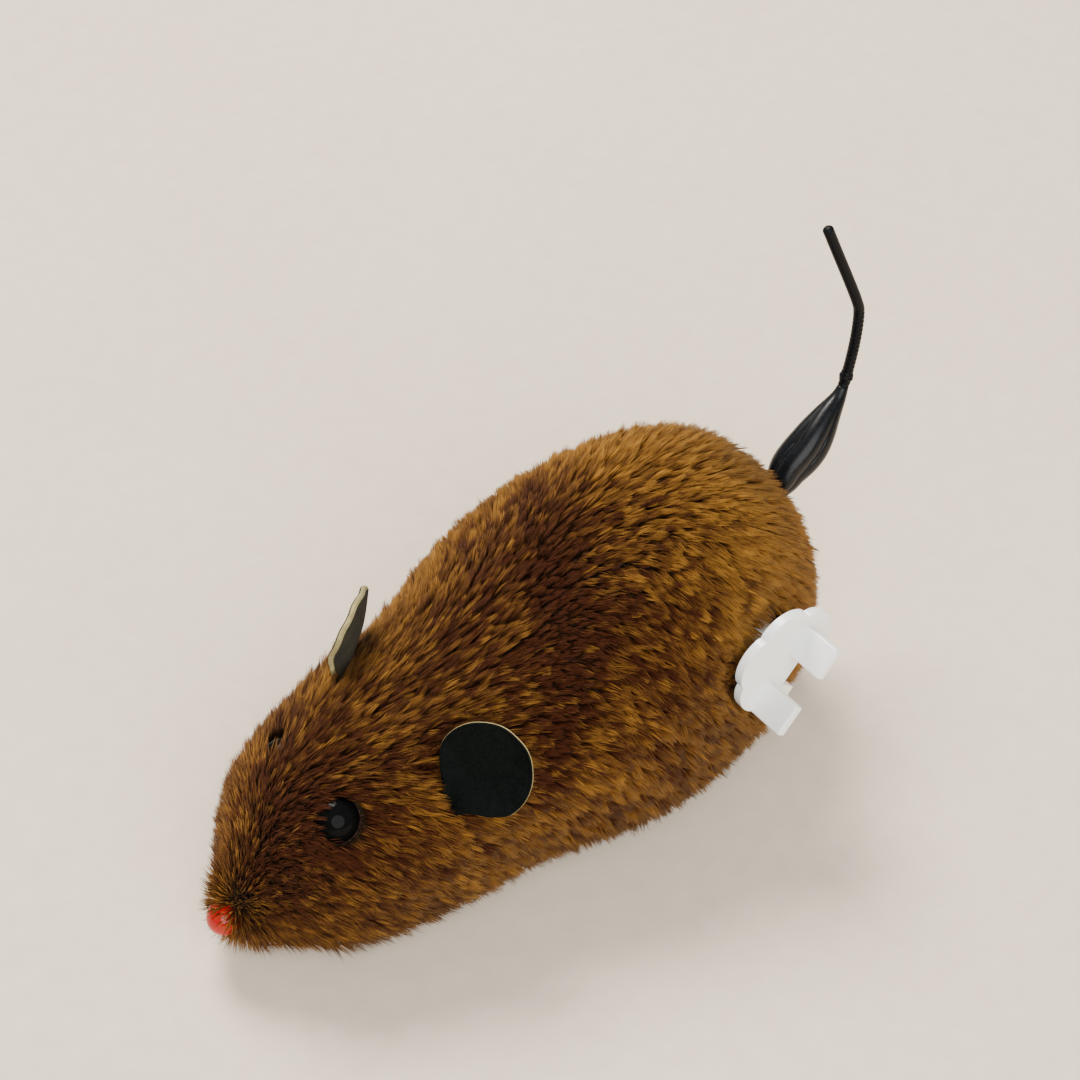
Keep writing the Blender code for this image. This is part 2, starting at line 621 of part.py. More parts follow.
def make_winding():
    """Arbor, mainspring, ratchet wheel and the click on the great wheel's face."""
    middle = at_axis(KEY_AXIS)
    turned("winding_arbor", cylinder(ARBOR_RADIUS, *ARBOR_Y), 12, steel, middle)
    turns = [2 * math.pi * k / 16 for k in range(16 * SPRING_TURNS + 1)]
    inner = ARBOR_RADIUS + 2 * GAP
    edges = []
    for offset in (0.0, SPRING_STRIP):
        radii = [inner + offset + SPRING_PITCH * a / (2 * math.pi) for a in turns]
        edges.append([(r * math.cos(a), r * math.sin(a)) for r, a in zip(radii, turns)])
    slab("mainspring", [edges[0] + edges[1][::-1]], *SPRING_Y, spring_steel, middle)
    teeth = []
    for k in range(RATCHET_TEETH):
        start = -2 * math.pi * k / RATCHET_TEETH
        teeth.append((RATCHET_TIP * math.cos(start), RATCHET_TIP * math.sin(start)))
        start -= RATCHET_UNDERCUT
        teeth.append((RATCHET_ROOT * math.cos(start), RATCHET_ROOT * math.sin(start)))
    slab("ratchet_wheel", [teeth, circle(ARBOR_RADIUS + GAP, 16)], *RATCHET_Y, steel, middle)
    pivot_x, pivot_z = CLICK_PIVOT
    turns = [math.radians(95 - 27.5 * k) for k in range(9)]
    boss = [(CLICK_BOSS_RADIUS * math.cos(a), CLICK_BOSS_RADIUS * math.sin(a)) for a in turns]
    outline = [(x - pivot_x, z - pivot_z) for x, z in CLICK_NOSE] + boss
    pin = (KEY_AXIS[0] + pivot_x, 0.0, KEY_AXIS[1] + pivot_z)
    slab("click", [outline, circle(CLICK_PIN_RADIUS + GAP, 12)], *RATCHET_Y, steel, pin)
    turned("click_pin", cylinder(CLICK_PIN_RADIUS, *CLICK_PIN_Y), 12, steel, pin)


def make_motor_frame():
    second = second_shaft_place()
    holes = [circle(ARBOR_RADIUS + GAP, 16, KEY_AXIS), circle(AXLE_RADIUS + GAP, 12, second),
             circle(AXLE_RADIUS + GAP, 12, REAR_AXLE)]
    screw_holes = [circle(SCREW_RADIUS + GAP, 12, pillar) for pillar in PILLARS]
    outer = MOTOR_INSIDE + MOTOR_PLATE
    slab("motor_plate_left", [MOTOR_OUTLINE, *holes, *screw_holes], MOTOR_INSIDE, outer, motor_plastic)
    slab("motor_plate_right", [MOTOR_OUTLINE, *holes], -outer, -MOTOR_INSIDE, motor_plastic)
    end = MOTOR_INSIDE - GAP
    bore = SCREW_RADIUS + GAP
    depth = PILLAR_BORE_START
    for number, pillar in enumerate(PILLARS, 1):
        column = [(0.0, -end), (PILLAR_RADIUS, -end), (PILLAR_RADIUS, end), (bore, end), (bore, depth),
                  (0.0, depth)]
        turned(f"pillar_{number}", column, 12, steel, at_axis(pillar))
        screw = screw_profile(depth + GAP, outer + GAP)
        turned(f"plate_screw_{number}", screw, 12, steel, at_axis(pillar))


# ---- Key ----------------------------------------------------------------------------------

def make_key():
    """A scalloped disc on a hollow stem, with two square wings on its outer face.

    The disc is notched between the wings, on the side that faces down and back.
    """
    place = at_axis(KEY_AXIS)
    turns = [2 * math.pi * k / (8 * KEY_LOBES) for k in range(8 * KEY_LOBES)]
    radii = [KEY_RADIUS - KEY_LOBE_DEPTH * (1 - abs(math.sin(KEY_LOBES * a / 2)) ** 0.6) for a in turns]
    lobes = [(r * math.cos(a), r * math.sin(a)) for r, a in zip(radii, turns)]
    inner = KEY_DISC_Y - KEY_DISC_THICKNESS / 2
    outer = KEY_DISC_Y + KEY_DISC_THICKNESS / 2
    key = slab("key", [lobes], inner, outer, key_plastic, place)
    bore = ARBOR_RADIUS + GAP
    socket = inner - KEY_SOCKET_END
    joined = inner + JOIN_DEPTH
    stem = [(0.0, socket), (bore, socket), (bore, KEY_STEM_INNER_Y), (KEY_STEM_RADIUS, KEY_STEM_INNER_Y),
            (KEY_STEM_RADIUS, joined), (0.0, joined)]
    carve(key, turned("key_stem", stem, 16, None, place), "UNION")
    forward = Vector((math.cos(KEY_WING_ANGLE), 0.0, math.sin(KEY_WING_ANGLE)))
    upward = Vector((-forward.z, 0.0, forward.x))

    def stand(shape):
        for vert in shape.data.vertices:
            vert.co = forward * vert.co.x + Vector((0.0, vert.co.y, 0.0)) + upward * vert.co.z

    half = KEY_WING_THICKNESS / 2
    for side, sign in (("front", 1), ("rear", -1)):
        near, far = sorted((sign * KEY_WING_GAP / 2, sign * KEY_WING_SPAN / 2))
        wing = box(f"key_wing_{side}", (near, outer - JOIN_DEPTH, -half),
                   (far, outer + KEY_WING_HEIGHT, half), None, place)
        stand(wing)
        carve(key, wing, "UNION")
    half = KEY_WING_GAP / 2
    notch = box("key_notch", (-half, inner - CUT_PAST, -KEY_RADIUS - CUT_PAST),
                (half, outer + CUT_PAST, KEY_NOTCH_END), None, place)
    stand(notch)
    carve(key, notch)


# ---- Build --------------------------------------------------------------------------------

for leftover in list(bpy.data.objects):
    bpy.data.objects.remove(leftover)

mouse = bpy.data.objects.new("mouse", None)
bpy.context.collection.objects.link(mouse)
mouse.location = ORIGIN_SHIFT

plush = material("plush", (0.20, 0.10, 0.045), 0.95)
shell_plastic = material("shell_plastic", (0.30, 0.28, 0.26), 0.5)
chassis_plastic = material("chassis_plastic", (0.03, 0.03, 0.032), 0.45)
motor_plastic = material("motor_plastic", (0.75, 0.74, 0.70), 0.4)
gear_plastic = material("gear_plastic", (0.82, 0.80, 0.74), 0.4)
wheel_plastic = material("wheel_plastic", (0.05, 0.05, 0.05), 0.4)
tyre_rubber = material("tyre_rubber", (0.02, 0.02, 0.02), 0.85)
brass = material("brass", (0.70, 0.52, 0.22), 0.35, 1.0)
steel = material("steel", (0.60, 0.60, 0.60), 0.35, 1.0)
spring_steel = material("spring_steel", (0.32, 0.36, 0.42), 0.3, 1.0)
key_plastic = material("key_plastic", (0.85, 0.85, 0.83), 0.3)
bead_black = material("bead_black", (0.008, 0.008, 0.009), 0.08)
bead_red = material("bead_red", (0.45, 0.05, 0.02), 0.12)
ear_black = material("ear_black", (0.012, 0.013, 0.013), 0.7)
tail_black = material("tail_black", (0.012, 0.013, 0.014), 0.35)

soft_cover = make_cover_and_shell()
make_face(soft_cover)
make_ears(soft_cover)
make_tail(soft_cover)
make_chassis()
make_bosses()
make_wheels()
make_train()
make_winding()
make_motor_frame()
make_key()
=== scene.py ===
"""A clockwork plush mouse with disc ears, bead eyes, a pleated tail and a key, on its CAD frame."""

import json
import math

import bmesh
import bpy
import numpy as np
from mathutils import Matrix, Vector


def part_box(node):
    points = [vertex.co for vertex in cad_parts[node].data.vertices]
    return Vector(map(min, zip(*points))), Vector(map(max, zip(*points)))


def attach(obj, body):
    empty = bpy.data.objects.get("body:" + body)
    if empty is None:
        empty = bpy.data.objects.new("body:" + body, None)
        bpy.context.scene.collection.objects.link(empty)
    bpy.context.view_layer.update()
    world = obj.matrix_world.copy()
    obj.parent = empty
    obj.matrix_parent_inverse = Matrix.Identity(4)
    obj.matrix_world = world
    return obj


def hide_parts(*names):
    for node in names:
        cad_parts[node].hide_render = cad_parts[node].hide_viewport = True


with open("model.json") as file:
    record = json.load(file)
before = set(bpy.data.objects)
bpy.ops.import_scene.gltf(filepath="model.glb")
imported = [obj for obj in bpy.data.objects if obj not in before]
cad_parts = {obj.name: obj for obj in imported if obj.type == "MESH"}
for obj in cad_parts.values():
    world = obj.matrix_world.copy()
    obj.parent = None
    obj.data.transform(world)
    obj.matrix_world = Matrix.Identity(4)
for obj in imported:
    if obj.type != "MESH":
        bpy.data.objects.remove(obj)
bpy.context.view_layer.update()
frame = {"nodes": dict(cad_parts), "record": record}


# ---- Backing cloth ----------------------------------------------------------------------
# The knitted cloth that the pile grows from, under a millimetre thick. It is pulled tight
# over the plastic shell, glued down, and turned under along the open belly.

HALF_LENGTH = 0.045
SECTION_POWER = 2.3
WIDEST_AT_NOSE, WIDEST_AT_RUMP = 0.0076, 0.0159
BELLY_HEIGHT = 0.003
HALF_WIDTHS = (0.0, 0.0045, 0.0127, 0.0169, 0.0190, 0.0230, 0.0219, 0.0169, 0.0109, 0.0)
CROWN_RISES = (0.0, 0.0066, 0.0153, 0.0184, 0.0199, 0.0240, 0.0264, 0.0239, 0.0143, 0.0)
CLOTH_DEPTH = 0.0024          # the cloth's outside, below the tips of the pile
CLOTH_THICKNESS = 0.0009
HEM_FRONT, HEM_REAR = 0.0385, -0.0405
HEM_ANGLE = math.radians(36)  # how far below the widest line the cloth is turned under
HEM_ROUNDING = 0.0016
KEY_AXIS = (-0.0265, 0.0243)  # x and z, from the body's middle
STEM_HOLE = 0.0027            # radius of the hole that the key's stem passes through
PUNCH_Y, PUNCH_DEPTH = 0.020, 0.020   # the cylinder that cuts it
SKIN_ROWS, SKIN_COLUMNS = 200, 150
MERGE_DISTANCE = 1e-7
SPOT_RANGE = (0.35, 0.65)     # mottling values over which a finish's colour swings
GLOSS_RANGE = (0.3, 0.7)      # and over which its roughness swings

cover_low, cover_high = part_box("plush_cover")
middle = np.array([cover_low.x + HALF_LENGTH, (cover_low.y + cover_high.y) / 2, 0.0])


def smooth_run(values, place):
    """A smooth curve through evenly spaced values, read at places from 0 to 1. Each span is a
    cubic whose slope at either end is that of the line between the neighbours on both sides."""
    run = np.concatenate([[2 * values[0] - values[1]], values, [2 * values[-1] - values[-2]]])
    spans = len(run) - 3
    span = np.clip((place * spans).astype(int), 0, spans - 1)
    t = place * spans - span
    before, here, there, after = (run[span + k] for k in range(4))
    bend = (2 * before - 5 * here + 4 * there - after) * t
    bend = bend + (3 * here - before - 3 * there + after) * t * t
    return here + (there - before + bend) * t / 2


def ease(value, start, end):
    """0 before start, 1 after end, and a smooth step between them."""
    t = np.clip((value - start) / (end - start), 0, 1)
    return t * t * (3 - 2 * t)


def body_form(along, turn, depth):
    """Points of the body. "along" runs from the nose, 0, to the rump, pi, and sets x by its
    cosine; "turn" runs round the section from the left side, 0, over the crown. A section is
    a superellipse whose half-width, rise and drop are smooth runs, all less "depth"."""
    reach = np.sin(along)
    widest = WIDEST_AT_NOSE + (WIDEST_AT_RUMP - WIDEST_AT_NOSE) * (1 - np.cos(along)) / 2
    half_width = smooth_run(HALF_WIDTHS, along / np.pi) - depth * reach
    rise = smooth_run(CROWN_RISES, along / np.pi) - depth * reach
    drop = (widest - BELLY_HEIGHT) * np.minimum(1, 3 * reach) - depth * reach
    across = np.sign(np.cos(turn)) * np.abs(np.cos(turn)) ** (2 / SECTION_POWER)
    upward = np.sign(np.sin(turn)) * np.abs(np.sin(turn)) ** (2 / SECTION_POWER)
    x = (HALF_LENGTH - depth) * np.cos(along)
    z = widest + upward * np.where(upward > 0, rise, drop)
    return middle + np.stack([x, half_width * across, z], -1)


def hem_turn(along):
    """How far below the widest line the cloth ends: the hem's angle between the two ends of
    the opening, and a quarter turn beyond them, where the cloth closes on itself."""
    x = HALF_LENGTH * np.cos(along)
    open_share = ease(HEM_FRONT - x, 0, HEM_ROUNDING) * ease(x - HEM_REAR, 0, HEM_ROUNDING)
    return np.pi / 2 + (HEM_ANGLE - np.pi / 2) * open_share


def surface_piece(name, points, surfaces, closed=True, row_slots=None):
    """A mesh from a grid of points: each cell of the grid is one face, and the last column
    joins the first on a closed piece. Points that fall together at a pole are joined, and all
    faces are turned outwards by the sign of the enclosed volume. Each row may have its slot."""
    rows, columns = points.shape[:2]
    grid = np.arange(rows * columns).reshape(rows, columns)
    if closed:
        grid = np.concatenate([grid, grid[:, :1]], 1)
    corners = (grid[:-1, :-1], grid[:-1, 1:], grid[1:, 1:], grid[1:, :-1])
    quads = np.stack(corners, -1).reshape(-1, 4)
    flat = points.reshape(-1, 3)
    a, b, c, d = (flat[quads[:, k]] for k in range(4))
    volume = (a * np.cross(b, c)).sum() + (a * np.cross(c, d)).sum()
    if volume < 0:
        quads = quads[:, ::-1]
    mesh = bpy.data.meshes.new(name)
    mesh.from_pydata(flat.tolist(), [], quads.tolist())
    for surface in surfaces:
        mesh.materials.append(surface)
    if row_slots is not None:
        per_row = len(quads) // len(row_slots)
        mesh.polygons.foreach_set("material_index", np.repeat(row_slots, per_row).astype(np.int32))
    shape = bmesh.new()
    shape.from_mesh(mesh)
    bmesh.ops.remove_doubles(shape, verts=shape.verts, dist=MERGE_DISTANCE)
    shape.to_mesh(mesh)
    shape.free()
    mesh.shade_smooth()
    piece = bpy.data.objects.new(name, mesh)
    bpy.context.scene.collection.objects.link(piece)
    return piece


def noise_group():
    """Node group: soft mottling. It mixes a large and a small noise on Object coordinates, by
    the share of the small one, and gives the mix as a value round 0.5."""
    group = bpy.data.node_groups.new("mottling", "ShaderNodeTree")
    for label in ("Large scale", "Small scale", "Small share"):
        group.interface.new_socket(label, in_out="INPUT", socket_type="NodeSocketFloat")
    group.interface.new_socket("Value", in_out="OUTPUT", socket_type="NodeSocketFloat")
    nodes, links = group.nodes, group.links
    given, result = nodes.new("NodeGroupInput"), nodes.new("NodeGroupOutput")
    place = nodes.new("ShaderNodeTexCoord")
    large, small = nodes.new("ShaderNodeTexNoise"), nodes.new("ShaderNodeTexNoise")
    mix = nodes.new("ShaderNodeMix")
    for noise, label in ((large, "Large scale"), (small, "Small scale")):
        links.new(place.outputs["Object"], noise.inputs["Vector"])
        links.new(given.outputs[label], noise.inputs["Scale"])
        noise.inputs["Detail"].default_value = 3.0
    links.new(given.outputs["Small share"], mix.inputs["Factor"])
    links.new(large.outputs["Fac"], mix.inputs["A"])
    links.new(small.outputs["Fac"], mix.inputs["B"])
    links.new(mix.outputs["Result"], result.inputs["Value"])
    return group


mottling = noise_group()


def finish_material(name, low, high, roughness, scales, bump=0.0, bump_depth=0.0001,
                    roughness_swing=0.0, **sockets):
    """A material whose colour swings between two colours with the mottling, with optional
    swings in roughness and a fine bump; every other socket is a plain number on the shader."""
    made = bpy.data.materials.new(name)
    made.use_nodes = True
    nodes, links = made.node_tree.nodes, made.node_tree.links
    shader = nodes["Principled BSDF"]
    spots = nodes.new("ShaderNodeGroup")
    spots.node_tree = mottling
    for socket, value in zip(("Large scale", "Small scale", "Small share"), scales):
        spots.inputs[socket].default_value = value
    ramp = nodes.new("ShaderNodeValToRGB")
    for stop, position, colour in zip(ramp.color_ramp.elements, SPOT_RANGE, (low, high)):
        stop.position = position
        stop.color = (*colour, 1.0)
    links.new(spots.outputs["Value"], ramp.inputs["Fac"])
    links.new(ramp.outputs["Color"], shader.inputs["Base Color"])
    shader.inputs["Roughness"].default_value = roughness
    if roughness_swing:
        spread = nodes.new("ShaderNodeMapRange")
        spread.inputs["From Min"].default_value = GLOSS_RANGE[0]
        spread.inputs["From Max"].default_value = GLOSS_RANGE[1]
        spread.inputs["To Min"].default_value = roughness - roughness_swing
        spread.inputs["To Max"].default_value = roughness + roughness_swing
        links.new(spots.outputs["Value"], spread.inputs["Value"])
        links.new(spread.outputs["Result"], shader.inputs["Roughness"])
    if bump:
        relief = nodes.new("ShaderNodeBump")
        relief.inputs["Strength"].default_value = bump
        relief.inputs["Distance"].default_value = bump_depth
        links.new(spots.outputs["Value"], relief.inputs["Height"])
        links.new(relief.outputs["Normal"], shader.inputs["Normal"])
    for socket, value in sockets.items():
        shader.inputs[socket.replace("_", " ")].default_value = value
    return made


cloth = finish_material("backing_cloth", (0.030, 0.011, 0.005), (0.060, 0.024, 0.010), 0.95,
                        (400.0, 2600.0, 0.6), 0.8, 0.0002)
row_angles = np.linspace(0, np.pi, SKIN_ROWS)
column_shares = np.linspace(0, 1, SKIN_COLUMNS)
along, share = np.meshgrid(row_angles, column_shares, indexing="ij")
lowest = hem_turn(along)
turn = -lowest + (np.pi + 2 * lowest) * share
outside = body_form(along, turn, CLOTH_DEPTH)
inside = body_form(along, turn, CLOTH_DEPTH + CLOTH_THICKNESS)
skin = surface_piece("backing_cloth", np.concatenate([outside, inside[:, ::-1]], 1), [cloth])

punch_place = (middle[0] + KEY_AXIS[0], middle[1] + PUNCH_Y, KEY_AXIS[1])
bpy.ops.mesh.primitive_cylinder_add(vertices=48, radius=STEM_HOLE, depth=PUNCH_DEPTH,
                                    rotation=(math.pi / 2, 0, 0), location=punch_place)
hole_punch = bpy.context.object
hole = skin.modifiers.new("stem_hole", "BOOLEAN")
hole.object = hole_punch
hole.solver = "EXACT"
bpy.context.view_layer.objects.active = skin
bpy.ops.object.modifier_apply(modifier="stem_hole")
bpy.data.objects.remove(hole_punch)
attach(skin, "mouse")
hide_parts("plush_cover")


# ---- Pile -------------------------------------------------------------------------------
# The plush pile: soft polyester fibres about 3.6 mm long that lie back from nose to rump in
# small locks. They are combed over the crown, part across the shoulders and hang round the
# hem. Each fibre is a bent three-sided blade that tapers to its tip.

FIBRES = 152000
FIBRES_TO_A_PIECE = 19500
FIBRE_LENGTH = 0.0036
FIBRE_WIDTH = 0.00015
ROOT_LEAN, TIP_LEAN = 1.12, 0.30   # how steeply a fibre leaves the cloth and how it ends
LEAST_BEND = 0.2
SOW_ROWS, SOW_COLUMNS = 500, 400
POLE_GAP = 0.02               # no fibre grows this near to the body's two poles
LOCK_ROWS, LOCK_COLUMNS = 90, 270
LOCK_MARGIN = 0.12            # how far a lock's middle keeps from its cell's border
ROW_WEIGHT = 1.3              # a row counts this much more than a column in a lock's distance
LONG_SWING, LIFT_SWING, SWAY_SWING = 0.09, 0.08, 0.16   # what locks differ by
LOOSE_SHARE, LOOSE_GATHER, LOCK_GATHER = 0.12, 0.15, 0.62
BEND_GATHER = 0.35            # how much of the tip's gathering a fibre's bend takes
NOSE_TUFT_REACH, EAR_TUFT_REACH = 0.0034, 0.0048
FLOOR_GAP, FLOOR_GAP_SPREAD = 0.0004, 0.0006
PRESSED_GAP, PRESSED_SPREAD = 0.0006, 0.0005   # of the pile behind the key's disc
BEAD_GAP = 0.0001
# Each fibre darkens from tip to root: the dark roots are painted shade deep in the pile and between
# locks.
DARK_FIBRE = ((0.008, 0.002, 0.001), (0.026, 0.005, 0.002), (0.058, 0.013, 0.005))
GOLD_FIBRE = ((0.036, 0.012, 0.002), (0.220, 0.088, 0.014), (0.620, 0.300, 0.046))
BEND_AT = 0.45                # the colours are those of the root, dark as painted shade, of this share up, and the tip
EYE_RADIUS = 0.0030
LEFT_EYE, RIGHT_EYE = (0.0302, 0.0057, 0.0216), (0.0295, -0.0058, 0.0210)
NOSE_RADIUS = 0.0022
NOSE_CENTRE = (0.0436, 0.0, 0.0074)
TAIL_ROOT = (-0.0425, 0.0, 0.0255)
KEY_RADIUS = 0.0078
KEY_BACK = 0.0204             # y of the back of the key's disc, from the mid-plane

NUDGE = 0.002                 # a small step over the surface, as an angle
CORE_HEIGHT = 0.014           # height of the point inside the body that normals point away from

# In the functions below, places along and round the body are angles in radians, and shares
# run from 0 to 1.
rng = np.random.default_rng(11)


def unit(vectors):
    """Each vector over its own length."""
    return vectors / np.maximum(np.linalg.norm(vectors, axis=-1, keepdims=True), 1e-12)


def soft_noise(along, turn, seed, scale):
    """A smooth random field, mostly from -1 to 1: a third of the sum of five sine waves over
    the body, of random directions and phases, all of about the same wavelength."""
    waves = np.random.default_rng(seed)
    total = 0.0
    for _ in range(5):
        heading, phase = waves.uniform(0, 2 * np.pi, 2)
        pace = scale * waves.uniform(0.7, 1.4)
        crest = np.cos(heading) * along + 0.75 * np.sin(heading) * turn
        total = total + np.sin(pace * crest + phase)
    return total / 3


def surface_frame(along, turn, depth):
    """Each point with its outward normal, its way back along the body and its way down the
    nearer side, from small steps over the surface in both directions."""
    here = body_form(along, turn, depth)
    back = unit(body_form(along + NUDGE, turn, depth) - body_form(along - NUDGE, turn, depth))
    round_it = unit(body_form(along, turn + NUDGE, depth) - body_form(along, turn - NUDGE, depth))
    normal = unit(np.cross(round_it, back))
    outward = here - (middle + np.array([0.0, 0.0, CORE_HEIGHT]))
    outward[..., 0] *= 0.5
    normal *= np.sign((normal * outward).sum(-1, keepdims=True))
    left = np.cos(turn)[..., None]
    down = np.where(left > 0, -1.0, 1.0) * unit(np.cross(normal, np.cross(round_it, normal)))
    back = unit(back - normal * (back * normal).sum(-1, keepdims=True))
    return here, normal, back, unit(down)


def lie_angle(along, turn):
    """The angle of the pile from straight back towards straight down. It grows with the cosine
    of the turn, most on the flank behind the ear; over the crown the whole pile is combed
    towards the left side, which is up on the right half; and it wanders with a soft noise."""
    side = np.abs(np.cos(turn))
    flank = ease(along, 1.45, 1.75) * (1 - ease(along, 2.0, 2.9))
    behind_head = 0.45 + 0.55 * ease(along, 1.0, 1.5)
    steep = (0.28 + 0.35 * side) * behind_head + 0.40 * flank * side
    steep = steep * ease(np.abs(turn - np.pi / 2), 0.0, 0.35)
    comb = 0.60 * (1 - 0.7 * side) * ease(along, 0.35, 0.8) * (1 - ease(turn, 1.75, 2.6))
    wander = 0.22 * soft_noise(along, turn, 3, 5.0)
    return steep + np.sign(np.cos(turn)) * (comb + wander)


def parting(along, turn):
    """How near a point is to the parting across the shoulders, from 0 to 1: a bell curve
    across a slanting line, faded out low on the left and past the crown."""
    line = np.radians(85) + 0.30 * (turn - np.radians(42))
    reach = ease(turn, 0.15, 0.65) * (1 - ease(turn, 1.9, 2.4))
    return np.exp(-((along - line) / 0.085) ** 2) * reach


def gold_share(along, turn):
    """How golden the pile is, from 0, dark reddish brown, to 1: smooth steps make it pale on
    the back and the rump, and on the right side as a painted sheen; bell curves make it dark
    on the face and the shoulders and in the parting, and two soft noises mottle it."""
    tone = 0.15 + 0.09 * ease(along, 0.7, 1.1) + 0.46 * ease(along, 1.75, 2.4)
    # The right side behind the head is made paler: a painted sheen where the far side catches the
    # window's light.
    tone = tone + 0.24 * ease(turn, 1.7, 2.6) * ease(along, 0.9, 1.5)
    face = np.exp(-((along - 0.60) / 0.32) ** 2 - ((turn - 1.25) / 0.72) ** 2)
    tone = tone - 0.40 * face - 0.42 * parting(along, turn)
    shoulder = np.exp(-((along - 1.68) / 0.36) ** 2 - ((turn - 1.35) / 0.75) ** 2)
    tip_of_nose = 1 - ease(along, 0.10, 0.35)
    tone = tone - 0.26 * shoulder + 0.20 * tip_of_nose
    return tone + 0.11 * soft_noise(along, turn, 5, 7.0) + 0.07 * soft_noise(along, turn, 6, 19.0)


def sown_places(count):
    """Root places spread evenly over the cloth: the surface is cut into small cells, cells are
    drawn in proportion to their area, and each root falls anywhere in its cell."""
    row_edge = np.linspace(POLE_GAP, np.pi - POLE_GAP, SOW_ROWS + 1)
    row_middle = (row_edge[:-1] + row_edge[1:]) / 2
    column_middle = (np.arange(SOW_COLUMNS) + 0.5) / SOW_COLUMNS
    a, s = np.meshgrid(row_middle, column_middle, indexing="ij")
    low = hem_turn(a)
    t = -low + (np.pi + 2 * low) * s
    step_a, step_t = row_edge[1] - row_edge[0], (np.pi + 2 * low) / SOW_COLUMNS
    across = body_form(a + NUDGE, t, CLOTH_DEPTH) - body_form(a - NUDGE, t, CLOTH_DEPTH)
    round_it = body_form(a, t + NUDGE, CLOTH_DEPTH) - body_form(a, t - NUDGE, CLOTH_DEPTH)
    area = np.linalg.norm(np.cross(across, round_it), axis=-1) * step_a * step_t
    total = np.cumsum(area.ravel())
    drawn = np.searchsorted(total, rng.uniform(0, total[-1], count))
    drawn = np.minimum(drawn, area.size - 1)
    a, t, step_t = a.ravel()[drawn], t.ravel()[drawn], step_t.ravel()[drawn]
    return a + step_a * rng.uniform(-0.5, 0.5, count), t + step_t * rng.uniform(-0.5, 0.5, count)


def fibre_path(along, turn, length, lift, sway):
    """A fibre's root, its middle and its tip. It leaves the cloth at a steep angle and bends
    evenly over to lie back, so its reach and height are the angle's cosine and sine summed
    along it."""
    root, normal, back, down = surface_frame(along, turn, CLOTH_DEPTH)
    angle = (lie_angle(along, turn) + sway)[:, None]
    flow = back * np.cos(angle) + down * np.sin(angle)
    start = ROOT_LEAN + lift
    end = np.minimum(TIP_LEAN + lift, start - LEAST_BEND)
    path = []
    for s in (0.0, 0.5, 1.0):
        now = start + (end - start) * s
        reach = (np.sin(now) - np.sin(start)) / (end - start)
        height = (np.cos(start) - np.cos(now)) / (end - start)
        path.append(root + length[:, None] * (flow * reach[:, None] + normal * height[:, None]))
    return path, normal


# The ears' places are needed here, because the pile is kept out of them.
EARS = {                      # base, direction to the tip, way the front faces, disc's height
    "left": ((0.0178, 0.0132, 0.0232), (-0.714, 0.196, 0.679), (0.677, 0.463, 0.572), 0.0052),
    "right": ((0.0162, -0.0102, 0.0262), (-0.56, -0.24, 0.79), (0.55, -0.83, 0.14), 0.0033),
}
EAR_RADIUS = 0.0061
EAR_THICKNESS = 0.0007
ear_frames = {}
for side, (base, tip, front, ear_lift) in EARS.items():
    upward = unit(np.array(tip))
    facing = unit(np.array(front) - upward * (upward @ np.array(front)))
    ear_frames[side] = (middle + np.array(base), np.cross(facing, upward), upward, facing, ear_lift)

fibre_along, fibre_turn = sown_places(FIBRES)

# Each fibre joins the nearest of the lock middles, which sit one to a cell, off centre.
lock_draw = np.random.default_rng(23)
lock_shape = (LOCK_ROWS + 2, LOCK_COLUMNS + 2)
lock_shift = lock_draw.uniform(LOCK_MARGIN, 1 - LOCK_MARGIN, (2, *lock_shape))
lock_values = lock_draw.normal(0, 1, (4, *lock_shape))
row_place = fibre_along / np.pi * LOCK_ROWS
column_place = (fibre_turn + np.pi / 2) / (2 * np.pi) * LOCK_COLUMNS
best = np.full(FIBRES, 1e9)
own_lock = np.zeros((2, FIBRES), int)
for row_step in (-1, 0, 1):
    for column_step in (-1, 0, 1):
        row = np.floor(row_place).astype(int) + row_step
        column = np.floor(column_place).astype(int) + column_step
        gap = ((row + lock_shift[0][row + 1, column + 1] - row_place) * ROW_WEIGHT) ** 2
        gap += (column + lock_shift[1][row + 1, column + 1] - column_place) ** 2
        nearer = gap < best
        best = np.where(nearer, gap, best)
        own_lock = np.where(nearer, np.stack([row + 1, column + 1]), own_lock)
lock_row, lock_column = own_lock
row_shift, column_shift = lock_shift[:, lock_row, lock_column]
lock_along = (lock_row - 1 + row_shift) / LOCK_ROWS * np.pi
lock_turn = (lock_column - 1 + column_shift) / LOCK_COLUMNS * 2 * np.pi - np.pi / 2
lock_long, lock_lift, lock_sway, lock_tone = lock_values[:, lock_row, lock_column]

# The pile is shorter and stands up in the parting. It stands up round the nose, and in front
# of each ear a longer tuft stands up and covers the ear's foot.
part = parting(fibre_along, fibre_turn)
roots = body_form(fibre_along, fibre_turn, CLOTH_DEPTH)
from_nose = np.linalg.norm(roots - middle - np.array(NOSE_CENTRE), axis=-1)
nose_tuft = np.exp(-(from_nose / NOSE_TUFT_REACH) ** 2)
ear_tuft = np.zeros(FIBRES)
for foot, _, _, facing, _ in ear_frames.values():
    from_foot = roots - foot
    in_front = ease(from_foot @ facing, -0.0005, 0.0008)
    ear_tuft += in_front * np.exp(-(np.linalg.norm(from_foot, axis=-1) / EAR_TUFT_REACH) ** 2)
full = FIBRE_LENGTH * (1 - 0.22 * part) * (1 + 0.65 * ear_tuft)
length = full * (1 + LONG_SWING * lock_long + rng.normal(0, 0.07, FIBRES)).clip(0.55, 1.30)
stand = 0.20 * part + 1.30 * nose_tuft + 0.26 * ear_tuft
lift = LIFT_SWING * lock_lift + 0.07 * rng.normal(0, 1, FIBRES) + stand
sway = SWAY_SWING * lock_sway + 0.12 * rng.normal(0, 1, FIBRES)
path, root_normal = fibre_path(fibre_along, fibre_turn, length, lift, sway)

